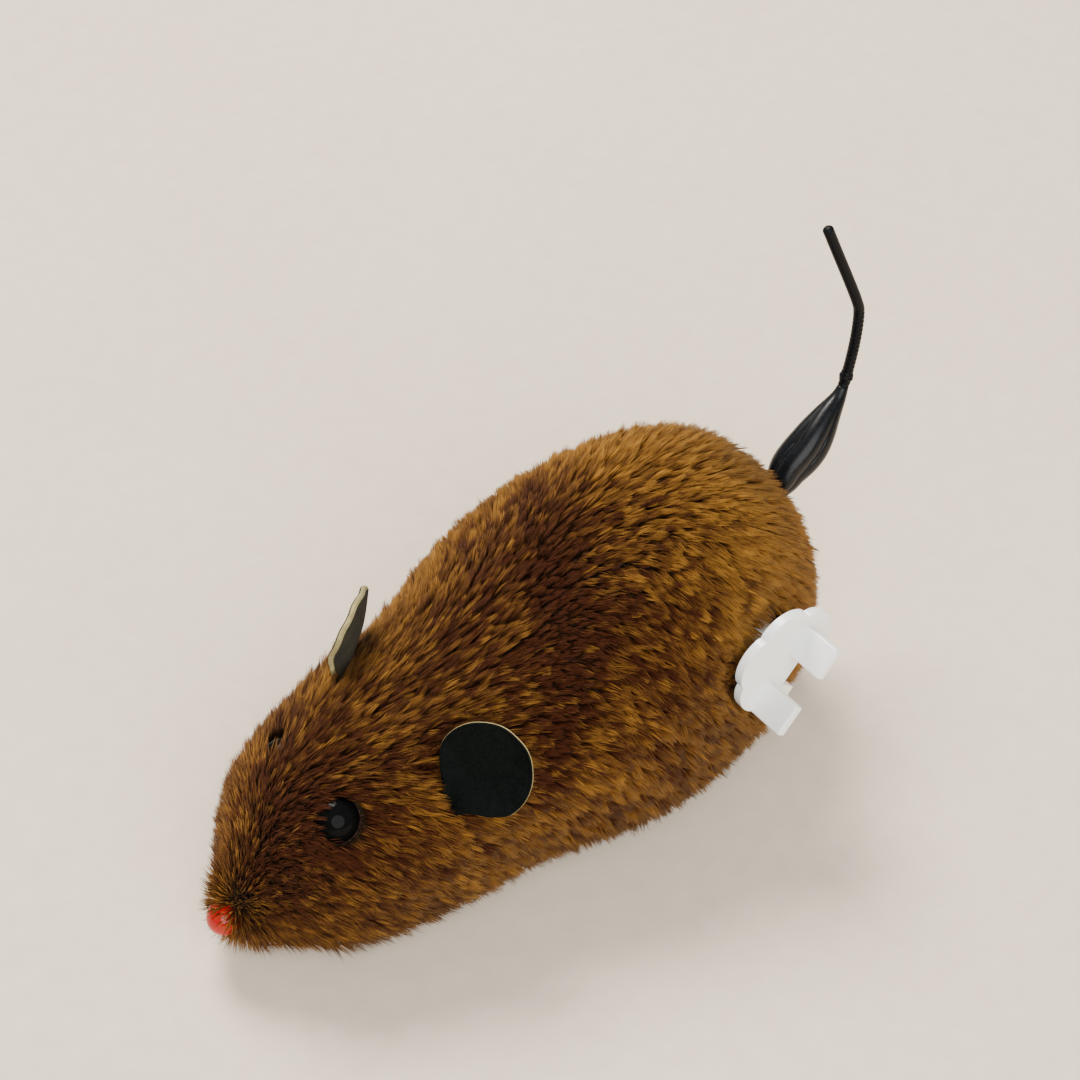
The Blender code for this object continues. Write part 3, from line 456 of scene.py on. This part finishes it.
# The tips of a lock are drawn towards its own middle fibre, but for a few loose ones.
lock_length = full * (1 + LONG_SWING * lock_long).clip(0.6, 1.3)
lock_path, _ = fibre_path(np.clip(lock_along, POLE_GAP, np.pi - POLE_GAP), lock_turn, lock_length,
                          LIFT_SWING * lock_lift + stand, SWAY_SWING * lock_sway)
loose = rng.uniform(0, 1, FIBRES) < LOOSE_SHARE
gather = np.where(loose, LOOSE_GATHER, LOCK_GATHER)[:, None]
path[1] = path[1] + (lock_path[1] - path[1]) * gather * BEND_GATHER
path[2] = path[2] + (lock_path[2] - path[2]) * gather

# Round the hem the pile hangs, bending down towards the floor.
above_hem = np.minimum(fibre_turn, np.pi - fibre_turn) + hem_turn(fibre_along)
hem = (1 - ease(above_hem, 0.05, 0.55)) * (hem_turn(fibre_along) < 1.2)
for step, weight in ((1, 0.16), (2, 0.45)):
    path[step][:, 2] -= length * step / 2 * weight * hem
    floor_gap = FLOOR_GAP + FLOOR_GAP_SPREAD * rng.uniform(0, 1, FIBRES)
    path[step][:, 2] = np.maximum(path[step][:, 2], floor_gap)


def clear_of(point, keep_out, reach):
    """Points within "reach" of a centre are moved straight out to that distance."""
    centre = middle + np.array(keep_out)
    away = point - centre
    far = np.linalg.norm(away, axis=-1, keepdims=True)
    moved = centre + away * (reach / np.maximum(far, 1e-9))
    return np.where(far < reach, moved, point)


def near(point, centre, reach):
    """Whether each point is within "reach" of a centre."""
    return np.linalg.norm(point - (middle + np.array(centre)), axis=-1) < reach


# No fibre is rooted under a bead, at the tail's root or at the key's stem. Most of those that
# end over an eye are left out, and the rest are pushed off the beads.
key_centre = middle + np.array([KEY_AXIS[0], 0.0, KEY_AXIS[1]])
from_key = path[0] - key_centre
at_stem = (np.hypot(from_key[:, 0], from_key[:, 2]) < STEM_HOLE + 0.0016) & (from_key[:, 1] > 0)
bald = near(path[0], LEFT_EYE, EYE_RADIUS * 0.9) | near(path[0], RIGHT_EYE, EYE_RADIUS * 0.7)
bald |= near(path[0], NOSE_CENTRE, NOSE_RADIUS * 0.8) | near(path[0], TAIL_ROOT, 0.0016) | at_stem
for eye, shown in ((LEFT_EYE, 0.70), (RIGHT_EYE, 0.80)):
    bald |= near(path[2], eye, EYE_RADIUS * 1.08) & (rng.uniform(0, 1, FIBRES) < shown)
    path = [clear_of(point, eye, EYE_RADIUS + BEAD_GAP) for point in path]
path = [clear_of(point, NOSE_CENTRE, NOSE_RADIUS + BEAD_GAP) for point in path]

# Behind the key's disc the pile is pressed flat, and it is combed out from round the stem.
stem_reach = STEM_HOLE + 0.0004
for step in (1, 2):
    offset = path[step] - key_centre
    radius = np.hypot(offset[:, 0], offset[:, 2])
    pressed = (radius < KEY_RADIUS + 0.0006) & (offset[:, 1] > 0)
    limit = KEY_BACK - PRESSED_GAP - PRESSED_SPREAD * rng.uniform(0, 1, FIBRES)
    flat = middle[1] + np.minimum(offset[:, 1], limit)
    path[step][:, 1] = np.where(pressed, flat, path[step][:, 1])
    behind_stem = pressed & (radius < stem_reach)
    grow = stem_reach / np.maximum(radius, 1e-6)
    for axis in (0, 2):
        moved = key_centre[axis] + offset[:, axis] * grow
        path[step][:, axis] = np.where(behind_stem, moved, path[step][:, axis])

# A fibre that would pass through an ear, or stand in its foot, is pushed off on its own side.
for foot, across, upward, facing, ear_lift in ear_frames.values():
    axes = np.stack([across, upward, facing], -1)
    places = [(point - foot) @ axes for point in path]
    start, end = places[0], places[2]
    crossing = (start[:, 2] * end[:, 2] < 0) | (np.abs(end[:, 2]) < 0.0006)
    within = np.hypot(end[:, 0], end[:, 1] - ear_lift) < EAR_RADIUS + 0.0002
    blocked = crossing & (within | (np.abs(start[:, 0]) < 0.003) & (np.abs(start[:, 1]) < 0.002))
    stand_off = np.where(start[:, 2] > 0, 1, -1) * (0.0005 + 0.0006 * rng.uniform(0, 1, FIBRES))
    for step, share in ((1, 0.6), (2, 1.0)):
        push = np.where(blocked, stand_off * share - places[step][:, 2] * share, 0.0)
        path[step] = path[step] + facing * push[:, None]

# The kept fibres, from nose to rump.
tone = gold_share(fibre_along, fibre_turn) + 0.19 * lock_tone + rng.normal(0, 0.11, FIBRES)
tone = tone + 0.25 * ear_tuft
keep = ~bald
order = np.argsort(fibre_along[keep], kind="stable")
path = [point[keep][order] for point in path]
tone = tone[keep][order].clip(0.02, 0.98)
root_normal = root_normal[keep][order]
fibre_width = FIBRE_WIDTH * rng.uniform(0.75, 1.25, len(tone))


def pile_material():
    """Colour by the fibre's own map: across it runs from dark reddish fibres to golden ones,
    and up it from a dark root, painted shade deep in the pile, to the tip. The gloss is that
    of soft polyester."""
    made = bpy.data.materials.new("pile")
    made.use_nodes = True
    nodes, links = made.node_tree.nodes, made.node_tree.links
    shader = nodes["Principled BSDF"]
    place, apart = nodes.new("ShaderNodeUVMap"), nodes.new("ShaderNodeSeparateXYZ")
    place.uv_map = "OFBake"
    links.new(place.outputs["UV"], apart.inputs["Vector"])
    mix = nodes.new("ShaderNodeMix")
    mix.data_type = "RGBA"
    links.new(apart.outputs["X"], mix.inputs["Factor"])
    # Both ramps run dark at the root: painted shade deep in the pile.
    for socket, (root, bend, tip) in (("A", DARK_FIBRE), ("B", GOLD_FIBRE)):
        ramp = nodes.new("ShaderNodeValToRGB")
        stops = ramp.color_ramp.elements
        stops[0].color = (*root, 1.0)
        stops[1].color = (*tip, 1.0)
        stops.new(BEND_AT).color = (*bend, 1.0)
        links.new(apart.outputs["Y"], ramp.inputs["Fac"])
        links.new(ramp.outputs["Color"], mix.inputs[socket])
    links.new(mix.outputs["Result"], shader.inputs["Base Color"])
    shader.inputs["Roughness"].default_value = 0.58
    shader.inputs["Specular IOR Level"].default_value = 0.07
    shader.inputs["Sheen Weight"].default_value = 0.06
    shader.inputs["Sheen Roughness"].default_value = 0.4
    shader.inputs["Sheen Tint"].default_value = (1.0, 0.72, 0.40, 1.0)
    return made


pile = pile_material()


def pile_piece(name, chosen):
    """Blades for the chosen fibres. Round each path point but the tip stand three corners at
    thirds of a turn; the faces are the root, three sides up to the middle ring and three
    points up to the tip. The map is the tone across and the place from root to tip up."""
    root, mid, end = (point[chosen] for point in path)
    count = len(root)
    verts = np.empty((count, 7, 3))
    rings = ((root, root, mid, 0.9), (mid, root, end, 1.0))
    for ring, (here, before, after, thin) in enumerate(rings):
        forward = unit(after - before)
        side = unit(np.cross(forward, root_normal[chosen]))
        under = np.cross(forward, side)
        for corner in range(3):
            angle = np.pi / 6 + corner * 2 * np.pi / 3 + np.pi
            spoke = side * np.cos(angle) + under * np.sin(angle) * 0.7
            verts[:, ring * 3 + corner] = here + spoke * (fibre_width[chosen] * thin / 2)[:, None]
    verts[:, 6] = end
    corners = np.array([0, 2, 1, 0, 1, 4, 3, 1, 2, 5, 4, 2, 0, 3, 5, 3, 4, 6, 4, 5, 6, 5, 3, 6])
    sizes = np.array([3, 4, 4, 4, 3, 3, 3])
    starts = np.concatenate([[0], np.cumsum(sizes)[:-1]])
    loops = (np.arange(count)[:, None] * 7 + corners).ravel()
    mesh = bpy.data.meshes.new(name)
    mesh.vertices.add(count * 7)
    mesh.vertices.foreach_set("co", verts.astype(np.float32).ravel())
    mesh.loops.add(len(loops))
    mesh.loops.foreach_set("vertex_index", loops.astype(np.int32))
    mesh.polygons.add(count * 7)
    first = (np.arange(count)[:, None] * len(corners) + starts).ravel()
    mesh.polygons.foreach_set("loop_start", first.astype(np.int32))
    mesh.update(calc_edges=True)
    spread = np.array([-0.006, 0.0, 0.006, -0.006, 0.0, 0.006, 0.0])
    rise = np.array([0.0, 0.02, 0.0, 0.48, 0.50, 0.48, 0.995])
    placed = np.empty((count, len(corners), 2))
    placed[:, :, 0] = tone[chosen][:, None] + spread[corners]
    placed[:, :, 1] = rise[corners]
    laid = mesh.uv_layers.new(name="OFBake")
    laid.data.foreach_set("uv", placed.astype(np.float32).ravel())
    mesh.materials.append(pile)
    mesh.shade_smooth()
    piece = bpy.data.objects.new(name, mesh)
    bpy.context.scene.collection.objects.link(piece)
    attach(piece, "mouse")


bands = math.ceil(len(tone) / FIBRES_TO_A_PIECE)
for number, chosen in enumerate(np.array_split(np.arange(len(tone)), bands), 1):
    pile_piece(f"pile_{number}", chosen)


# ---- Eyes and nose ----------------------------------------------------------------------
# Moulded plastic beads, glossy black for the eyes and clear red for the nose. They are
# pressed in through the plush, and the pile closes over their edges.

def bead(name, centre, radius, surface, node):
    """A ball: circles of latitude round the x axis, each a sine of the way from pole to pole."""
    poles, rings = np.linspace(0, np.pi, 33), np.linspace(0, 2 * np.pi, 48, endpoint=False)
    pole, ring = np.meshgrid(poles, rings, indexing="ij")
    points = np.stack([np.cos(pole), np.sin(pole) * np.cos(ring), np.sin(pole) * np.sin(ring)], -1)
    made = surface_piece(name, middle + np.array(centre) + points * radius, [surface])
    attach(made, "mouse")
    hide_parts(node)


black_bead = finish_material("black_bead", (0.002, 0.002, 0.002), (0.004, 0.004, 0.004), 0.10,
                             (300.0, 2000.0, 0.3), Specular_IOR_Level=0.045)
red_bead = finish_material("red_bead", (0.36, 0.004, 0.003), (0.50, 0.012, 0.006), 0.12,
                           (260.0, 1500.0, 0.3), Specular_IOR_Level=0.35,
                           Subsurface_Weight=0.2, Subsurface_Scale=0.001)
bead("eye_bead_left", LEFT_EYE, EYE_RADIUS, black_bead, "eye_left")
bead("eye_bead_right", RIGHT_EYE, EYE_RADIUS, black_bead, "eye_right")
bead("nose_bead", NOSE_CENTRE, NOSE_RADIUS, red_bead, "nose")


# ---- Ears -------------------------------------------------------------------------------
# Discs stamped from black leathercloth with an olive felt back, pinched at the foot and
# pushed into slots in the plush. The cut edge shows the felt, painted much paler than the
# back as a highlight along the rim.

ear_face = finish_material("leathercloth", (0.0018, 0.0024, 0.0022), (0.0045, 0.0058, 0.0052), 0.75,
                           (700.0, 3200.0, 0.6), 0.55, 0.00012, roughness_swing=0.10,
                           Specular_IOR_Level=0.03)
# The edge's colour is the felt with a painted highlight along the rim, far paler than the felt
# back.
ear_edge_and_highlight = finish_material("felt_edge_and_highlight", (0.20, 0.155, 0.055), (0.42, 0.35, 0.16), 0.9,
                           (900.0, 5000.0, 0.6), 0.8, 0.0002)
ear_back = finish_material("felt_back", (0.008, 0.006, 0.003), (0.036, 0.028, 0.011), 0.95,
                           (500.0, 4000.0, 0.6), 0.9, 0.0003)


def ear_points(side):
    """The ear's closed surface. Its outline is a circle drawn out to a narrow foot by a bell
    curve; from the middle of the front it runs out to the edge, round it and back to the
    middle of the back. It is cupped by the square of the radius and pinched at the foot."""
    foot, across, upward, facing, ear_lift = ear_frames[side]
    ring = np.linspace(0, 2 * np.pi, 120, endpoint=False)
    from_foot = np.abs((ring - 1.5 * np.pi + np.pi) % (2 * np.pi) - np.pi)
    rim = EAR_RADIUS * (1 + 0.010 * np.sin(2 * ring + 0.7) + 0.003 * np.sin(7 * ring))
    rim = rim + 0.0026 * np.exp(-((from_foot / 0.36) ** 2))
    half = EAR_THICKNESS / 2
    turns = np.linspace(0, np.pi, 7)
    shares = np.linspace(0, 1, 22)[:-1]
    profile = [(share, 0.0, half) for share in shares]
    profile += [(1.0, half * (np.sin(a) - 1) * 0.9, half * np.cos(a)) for a in turns]
    profile += [(share, 0.0, -half) for share in shares[::-1]]
    rows = []
    for share, trim, offset in profile:
        a = (rim * share + trim) * np.cos(ring)
        b = ear_lift + (rim * share + trim) * np.sin(ring)
        low = 1 - ease(b, -0.001, 0.0042)
        cup = 0.0009 * (share ** 2) * (1 - low) + 0.00025 * share * np.sin(2 * ring + 0.4)
        fold = 0.30 * low * np.abs(a) + 0.00008 * np.sin(9 * ring) * share ** 4
        a = a * (1 - 0.42 * low)
        out = offset + cup + fold
        rows.append(foot + np.outer(a, across) + np.outer(b, upward) + np.outer(out, facing))
    slots = [0] * (len(shares) + 2) + [1] * (len(turns) - 2) + [2] * (len(shares) - 1)
    return np.array(rows), slots


for side in ("left", "right"):
    points, slots = ear_points(side)
    ear = surface_piece(f"ear_disc_{side}", points, [ear_face, ear_edge_and_highlight, ear_back], row_slots=slots)
    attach(ear, "mouse")
    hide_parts(f"ear_{side}")


# ---- Tail -------------------------------------------------------------------------------
# A strip of glossy black leathercloth gathered into a pleated leaf at the root and then
# wound tightly round a wire, which leaves it as a thin ribbed cord with a plain end.

TAIL_ROUTE = np.array([
    (-0.0425, 0.0003, 0.0252), (-0.0450, 0.0004, 0.0269), (-0.0467, 0.0002, 0.0282),
    (-0.0496, 0.0002, 0.0302), (-0.0532, -0.0004, 0.0330), (-0.0554, -0.0008, 0.0347),
    (-0.0567, -0.0012, 0.0365), (-0.0577, -0.0014, 0.0400), (-0.0584, -0.0016, 0.0434),
    (-0.0589, -0.0020, 0.0465), (-0.0585, -0.0022, 0.0486), (-0.0573, -0.0030, 0.0527),
    (-0.0559, -0.0038, 0.0571), (-0.0546, -0.0046, 0.0613)])
TAIL_RADIUS = 0.00072
FLARE_ROOT_RADIUS = 0.0015
FLARE_RADIUS = 0.0028
FLARE_END = 0.40              # shares of the tail's length
CORD_START = 0.03             # the cord starts this share inside the leaf
WRAP_END = 0.68
WRAPS = 20

tail_gloss = finish_material("tail_leathercloth", (0.0022, 0.0026, 0.0032),
                             (0.0050, 0.0058, 0.0070), 0.30, (500.0, 2600.0, 0.5), 0.25, 0.00008,
                             roughness_swing=0.07, Specular_IOR_Level=0.20)
tail_matt = finish_material("tail_wrapping", (0.0022, 0.0025, 0.0030),
                            (0.0050, 0.0055, 0.0065), 0.42, (600.0, 3000.0, 0.5), 0.3, 0.00008,
                            roughness_swing=0.08, Specular_IOR_Level=0.08)


def tube_along(shares, radius_at, columns):
    """A tube round the tail's route: at each share along it a ring stands square to the route,
    and radius_at(share, angle) gives how far each of its points is from the middle."""
    fine = np.linspace(0, 1, 600)
    run = np.stack([smooth_run(TAIL_ROUTE[:, k], fine) for k in range(3)], -1)
    walked = np.concatenate([[0], np.cumsum(np.linalg.norm(np.diff(run, axis=0), axis=-1))])
    places = np.interp(shares * walked[-1], walked, fine)
    line = np.stack([smooth_run(TAIL_ROUTE[:, k], places) for k in range(3)], -1) + middle
    forward = unit(np.gradient(line, axis=0))
    first = unit(np.cross(np.array([0.0, 1.0, 0.0]), forward))
    second = np.cross(forward, first)
    ring = np.linspace(0, 2 * np.pi, columns, endpoint=False)
    radius = radius_at(shares[:, None], ring[None, :])[..., None]
    cosine, sine = np.cos(ring)[None, :, None], np.sin(ring)[None, :, None]
    spoke = first[:, None] * cosine + second[:, None] * sine
    return line[:, None] + spoke * radius


def flare_radius(share, angle):
    """A leaf: thin at both ends, widest past the middle. Deep pleats run along it, sharp in the
    valleys, and turn a little as they go."""
    part_way = np.clip(share / FLARE_END, 0, 1)
    belly = np.sin(np.pi * part_way ** 0.80) ** 1.5
    ends = FLARE_ROOT_RADIUS + (TAIL_RADIUS - FLARE_ROOT_RADIUS) * part_way
    pleat = np.abs(np.sin(2.0 * angle + 0.9 * part_way)) ** 0.6
    fine = 0.03 * np.sin(9 * angle + 3 * part_way)
    folded = 1 - (0.26 - fine) * belly * (1 - pleat)
    closed = np.sqrt(np.clip(part_way / 0.02, 0, 1) * np.clip((1 - part_way) / 0.02, 0, 1))
    return (ends + (FLARE_RADIUS - ends) * belly) * folded * closed


def cord_radius(share, angle):
    """A thin round cord: rings of wrapping stand out up to the bend, a small knot sits at the
    leaf's tip, and the far end is a half ball."""
    part_way = np.clip((share - FLARE_END) / (1 - FLARE_END), 0, 1)
    wrapped = 1 - ease(share, WRAP_END - 0.03, WRAP_END)
    phase = share / (WRAP_END - FLARE_END) * WRAPS * 2 * np.pi + angle
    rings = 1 + 0.10 * wrapped * (np.abs(np.sin(phase / 2)) ** 0.7 - 0.6)
    knot = 0.28 * np.exp(-((part_way - 0.045) / 0.020) ** 2)
    tip = np.sqrt(np.clip(1 - np.clip((part_way - 0.982) / 0.018, 0, 1) ** 2, 0, 1))
    start = np.sqrt(np.clip((share - FLARE_END + CORD_START) / 0.002, 0, 1))
    return TAIL_RADIUS * (rings + knot) * tip * start


flare_shares = FLARE_END * np.concatenate([
    np.linspace(0, 0.02, 6), np.linspace(0.03, 0.97, 90), np.linspace(0.98, 1, 6)])
flare = surface_piece("tail_leaf", tube_along(flare_shares, flare_radius, 100), [tail_gloss])
cord_shares = np.concatenate([
    np.linspace(FLARE_END - CORD_START, FLARE_END + 0.01, 16),
    np.linspace(FLARE_END + 0.0125, 0.985, 520), np.linspace(0.9865, 1, 10)])
cord_points = tube_along(cord_shares, cord_radius, 24)
tail_cord = surface_piece("tail_winding", cord_points, [tail_matt])
for piece, node in ((flare, "tail_flare"), (tail_cord, "tail_cord")):
    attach(piece, "mouse")
    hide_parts(node)


# ---- Key --------------------------------------------------------------------------------
# Moulded in glossy white plastic: a disc with a scalloped edge, two square wings on its outer
# face to turn it by, and a round stem that runs in to the clockwork. It turns with the arbor.

KEY_DISC_Y = 0.0218
KEY_DISC_THICKNESS = 0.0012
KEY_LOBES = 6
KEY_LOBE_DEPTH = 0.0010
OUTLINE_POINTS = 360
WING_ANGLE = math.radians(-46)
WING_SPAN, WING_GAP, WING_HEIGHT, WING_THICKNESS = 0.0131, 0.0042, 0.0053, 0.0014
WING_SHIFT = 0.0010           # how far the pair of wings sits forward of the stem
NOTCH_END = -0.0026           # the notch between the wings reaches in to here
DISC_CUT = -0.0052            # the disc ends here beyond the wings
WING_ROOT = 0.0006            # how far a wing is set into the disc
EDGE_ROUNDING = 0.00035
STEM_RADIUS = 0.0022
STEM_BORE = 0.0015
STEM_INNER_Y = 0.0088

white_plastic = finish_material("white_plastic", (0.88, 0.89, 0.86), (0.93, 0.94, 0.91), 0.24,
                                (180.0, 1500.0, 0.35), 0.05, 0.0001, roughness_swing=0.05,
                                Coat_Weight=0.25, Coat_Roughness=0.08, Subsurface_Weight=0.12,
                                Subsurface_Scale=0.0015)
wing_way = np.array([math.cos(WING_ANGLE), 0.0, math.sin(WING_ANGLE)])
wing_up = np.array([-wing_way[2], 0.0, wing_way[0]])


def plate(name, outline, low, high):
    """A flat plate: its outline, in the wings' own directions, stands at two heights along y;
    both faces are one polygon each, and a bevel rounds the edges between them and the side."""
    count = len(outline)
    flat = outline[:, :1] * wing_way + outline[:, 1:] * wing_up
    verts = np.concatenate([key_centre + flat + np.array([0.0, y, 0.0]) for y in (low, high)])
    here = np.arange(count)
    after = np.roll(here, -1)
    sides = np.stack([here, after, after + count, here + count], -1).tolist()
    mesh = bpy.data.meshes.new(name)
    mesh.from_pydata(verts.tolist(), [], [here[::-1].tolist(), (here + count).tolist(), *sides])
    shape = bmesh.new()
    shape.from_mesh(mesh)
    bmesh.ops.recalc_face_normals(shape, faces=shape.faces)
    shape.to_mesh(mesh)
    shape.free()
    mesh.materials.append(white_plastic)
    mesh.shade_smooth()
    made = bpy.data.objects.new(name, mesh)
    bpy.context.scene.collection.objects.link(made)
    rounding = made.modifiers.new("rounded_edges", "BEVEL")
    rounding.width = EDGE_ROUNDING
    rounding.segments = 3
    rounding.limit_method = "ANGLE"
    rounding.angle_limit = math.radians(50)
    rounding.harden_normals = True
    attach(made, "winding_arbor")
    return made


# The disc's outline: a circle with rounded lobes, opened by the notch between the wings.
turns = np.linspace(0, 2 * np.pi, OUTLINE_POINTS, endpoint=False) + WING_ANGLE
radii = KEY_RADIUS - KEY_LOBE_DEPTH * (1 - np.abs(np.sin(KEY_LOBES * turns / 2)) ** 0.6)
spokes = np.stack([np.cos(turns), np.zeros_like(turns), np.sin(turns)], -1) * radii[:, None]
disc_outline = np.stack([spokes @ wing_way, np.maximum(spokes @ wing_up, DISC_CUT)], -1)
half_gap = WING_GAP / 2
in_notch = (np.abs(disc_outline[:, 0] - WING_SHIFT) < half_gap) & (disc_outline[:, 1] < 0)
gap_at = np.flatnonzero(in_notch)
rim_before = disc_outline[gap_at[0] - 1, 1]
rim_after = disc_outline[(gap_at[-1] + 1) % OUTLINE_POINTS, 1]
sign = np.sign(disc_outline[gap_at[0], 0] - WING_SHIFT)
first_wall, last_wall = WING_SHIFT + sign * half_gap, WING_SHIFT - sign * half_gap
notch = np.array([(first_wall, rim_before), (first_wall, NOTCH_END),
                  (last_wall, NOTCH_END), (last_wall, rim_after)])
disc_outline = np.concatenate([disc_outline[:gap_at[0]], notch, disc_outline[gap_at[-1] + 1:]])
disc_low, disc_high = KEY_DISC_Y - KEY_DISC_THICKNESS / 2, KEY_DISC_Y + KEY_DISC_THICKNESS / 2
key_disc = plate("key_disc", disc_outline, disc_low, disc_high)
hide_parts("key")
half = WING_THICKNESS / 2
for end, direction in (("front", 1), ("rear", -1)):
    near_x, far_x = WING_SHIFT + direction * half_gap, WING_SHIFT + direction * WING_SPAN / 2
    wing_outline = np.array([(near_x, -half), (far_x, -half), (far_x, half), (near_x, half)])
    plate(f"key_wing_{end}", wing_outline, disc_high - WING_ROOT, disc_high + WING_HEIGHT)

# The stem's profile runs from its root in the disc down the outside, round the inner end and
# back up the bore.
stem_profile = [(0.0, disc_low + 0.0004), (STEM_RADIUS, disc_low + 0.0004),
                (STEM_RADIUS, disc_low - 0.0002), (STEM_RADIUS, STEM_INNER_Y + 0.0003),
                (STEM_RADIUS - 0.0003, STEM_INNER_Y), (STEM_BORE, STEM_INNER_Y),
                (STEM_BORE, disc_low - 0.0016), (0.0, disc_low - 0.0016)]
ring = np.linspace(0, 2 * np.pi, 48, endpoint=False)
stem_rows = [key_centre + np.stack([r * np.cos(ring), np.full(48, y), r * np.sin(ring)], -1)
             for r, y in stem_profile]
key_stem = surface_piece("key_stem", np.array(stem_rows), [white_plastic])
key_stem.data.set_sharp_from_angle(angle=math.radians(40))
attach(key_stem, "winding_arbor")


# ---- Shell, chassis, clockwork and wheels -----------------------------------------------
# The parts under the plush: moulded plastic shell, chassis and wheels, rubber tyres, and a
# clockwork of steel and brass between two plastic plates. Each takes the finish of its slot.

HIDDEN_FINISHES = {           # two colours, roughness and its swing, mottling, bump, metallic
    "shell_plastic": ((0.24, 0.225, 0.21), (0.32, 0.30, 0.28), 0.5, 0.06,
                      (90.0, 1400.0, 0.4), 0.15, 0.0),
    "chassis_plastic": ((0.018, 0.018, 0.020), (0.034, 0.034, 0.036), 0.46, 0.08,
                        (110.0, 2200.0, 0.5), 0.25, 0.0),
    "motor_plastic": ((0.68, 0.66, 0.60), (0.78, 0.77, 0.72), 0.42, 0.05,
                      (120.0, 1600.0, 0.4), 0.12, 0.0),
    "gear_plastic": ((0.76, 0.73, 0.65), (0.84, 0.82, 0.76), 0.38, 0.05,
                     (150.0, 1800.0, 0.4), 0.10, 0.0),
    "wheel_plastic": ((0.020, 0.020, 0.021), (0.045, 0.045, 0.046), 0.34, 0.08,
                      (140.0, 1900.0, 0.4), 0.15, 0.0),
    "tyre_rubber": ((0.012, 0.012, 0.012), (0.030, 0.029, 0.028), 0.82, 0.08,
                    (300.0, 2600.0, 0.6), 0.5, 0.0),
    "brass": ((0.60, 0.42, 0.15), (0.76, 0.58, 0.27), 0.32, 0.10,
              (160.0, 2400.0, 0.4), 0.10, 1.0),
    "steel": ((0.46, 0.46, 0.47), (0.64, 0.64, 0.65), 0.34, 0.10,
              (200.0, 2600.0, 0.4), 0.10, 1.0),
    "spring_steel": ((0.20, 0.25, 0.33), (0.36, 0.40, 0.48), 0.28, 0.08,
                     (260.0, 2400.0, 0.4), 0.10, 1.0),
}
finishes = {name: finish_material(name, low, high, roughness, scales, bump,
                                  roughness_swing=swing, Metallic=metallic)
            for name, (low, high, roughness, swing, scales, bump, metallic)
            in HIDDEN_FINISHES.items()}
for part in frame["record"]["subparts"]:
    node = frame["nodes"][part["node"]]
    if part["material_slot"] in finishes:
        node.data.materials.clear()
        node.data.materials.append(finishes[part["material_slot"]])


# ---- Floor, light and camera ------------------------------------------------------------
# A plain pale floor under a soft sky, with a lamp like a window over the mouse's right side
# and a larger, softer one over its left side. The camera looks down from its front left.

FLOOR_REACH = 1.5
SKY_COLOUR, SKY_STRENGTH = (0.93, 0.96, 1.0, 1.0), 0.40
LIT_POINT = (0.0, 0.0, 0.015)
LAMPS = {                     # place, size, power, colour
    "window": ((-0.10, -0.42, 0.60), 0.36, 9.5, (1.0, 0.96, 0.90)),
    "fill": ((0.22, 0.52, 0.45), 0.80, 9.0, (1.0, 0.99, 0.97)),
}
CAMERA_PLACE = (0.17326, 0.21236, 0.3354)
CAMERA_BACK = (0.428, 0.533, 0.730)       # from the mouse towards the camera
CAMERA_RIGHT = (-0.780, 0.626, 0.0)
CAMERA_LENS, SENSOR_WIDTH = 111.5, 36.0
NEAREST_SEEN = 0.01

floor_finish = finish_material("floor", (0.76, 0.63, 0.49), (0.83, 0.70, 0.55), 0.85,
                               (14.0, 300.0, 0.5))
floor_x, floor_y = np.meshgrid([-FLOOR_REACH, FLOOR_REACH], [-FLOOR_REACH, FLOOR_REACH])
floor_points = np.stack([floor_x, floor_y, np.zeros_like(floor_x)], -1)
floor = surface_piece("floor", floor_points, [floor_finish], closed=False)

sky = bpy.data.worlds.new("studio")
bpy.context.scene.world = sky
sky.use_nodes = True
sky.node_tree.nodes["Background"].inputs["Color"].default_value = SKY_COLOUR
sky.node_tree.nodes["Background"].inputs["Strength"].default_value = SKY_STRENGTH


def softbox(name, place, size, power, colour):
    """A round lamp that shines from its place at the lit point. A lamp shines along its own
    -z, so its z axis runs from the lit point to the lamp, and cross products with straight up
    give the other two axes."""
    lamp = bpy.data.lights.new(name, "AREA")
    lamp.shape = "DISK"
    lamp.size = size
    lamp.energy = power
    lamp.color = colour
    made = bpy.data.objects.new(name, lamp)
    bpy.context.scene.collection.objects.link(made)
    away = np.array(place) - np.array(LIT_POINT)
    side = unit(np.cross(np.array([0.0, 0.0, 1.0]), away))
    above = unit(np.cross(away, side))
    turned = np.stack([side, above, unit(away)], 1)
    made.matrix_world = Matrix.Translation(place) @ Matrix(turned.tolist()).to_4x4()


for name, (place, size, power, colour) in LAMPS.items():
    softbox(name, place, size, power, colour)

camera_data = bpy.data.cameras.new("camera")
camera_data.lens = CAMERA_LENS
camera_data.sensor_width = SENSOR_WIDTH
camera_data.clip_start = NEAREST_SEEN
camera = bpy.data.objects.new("camera", camera_data)
bpy.context.scene.collection.objects.link(camera)
looking_back, rightward = unit(np.array(CAMERA_BACK)), unit(np.array(CAMERA_RIGHT))
camera_turn = np.stack([rightward, np.cross(looking_back, rightward), looking_back], 1)
camera.matrix_world = (Matrix.Translation(CAMERA_PLACE)
                       @ Matrix(camera_turn.tolist()).to_4x4())
bpy.context.scene.camera = camera
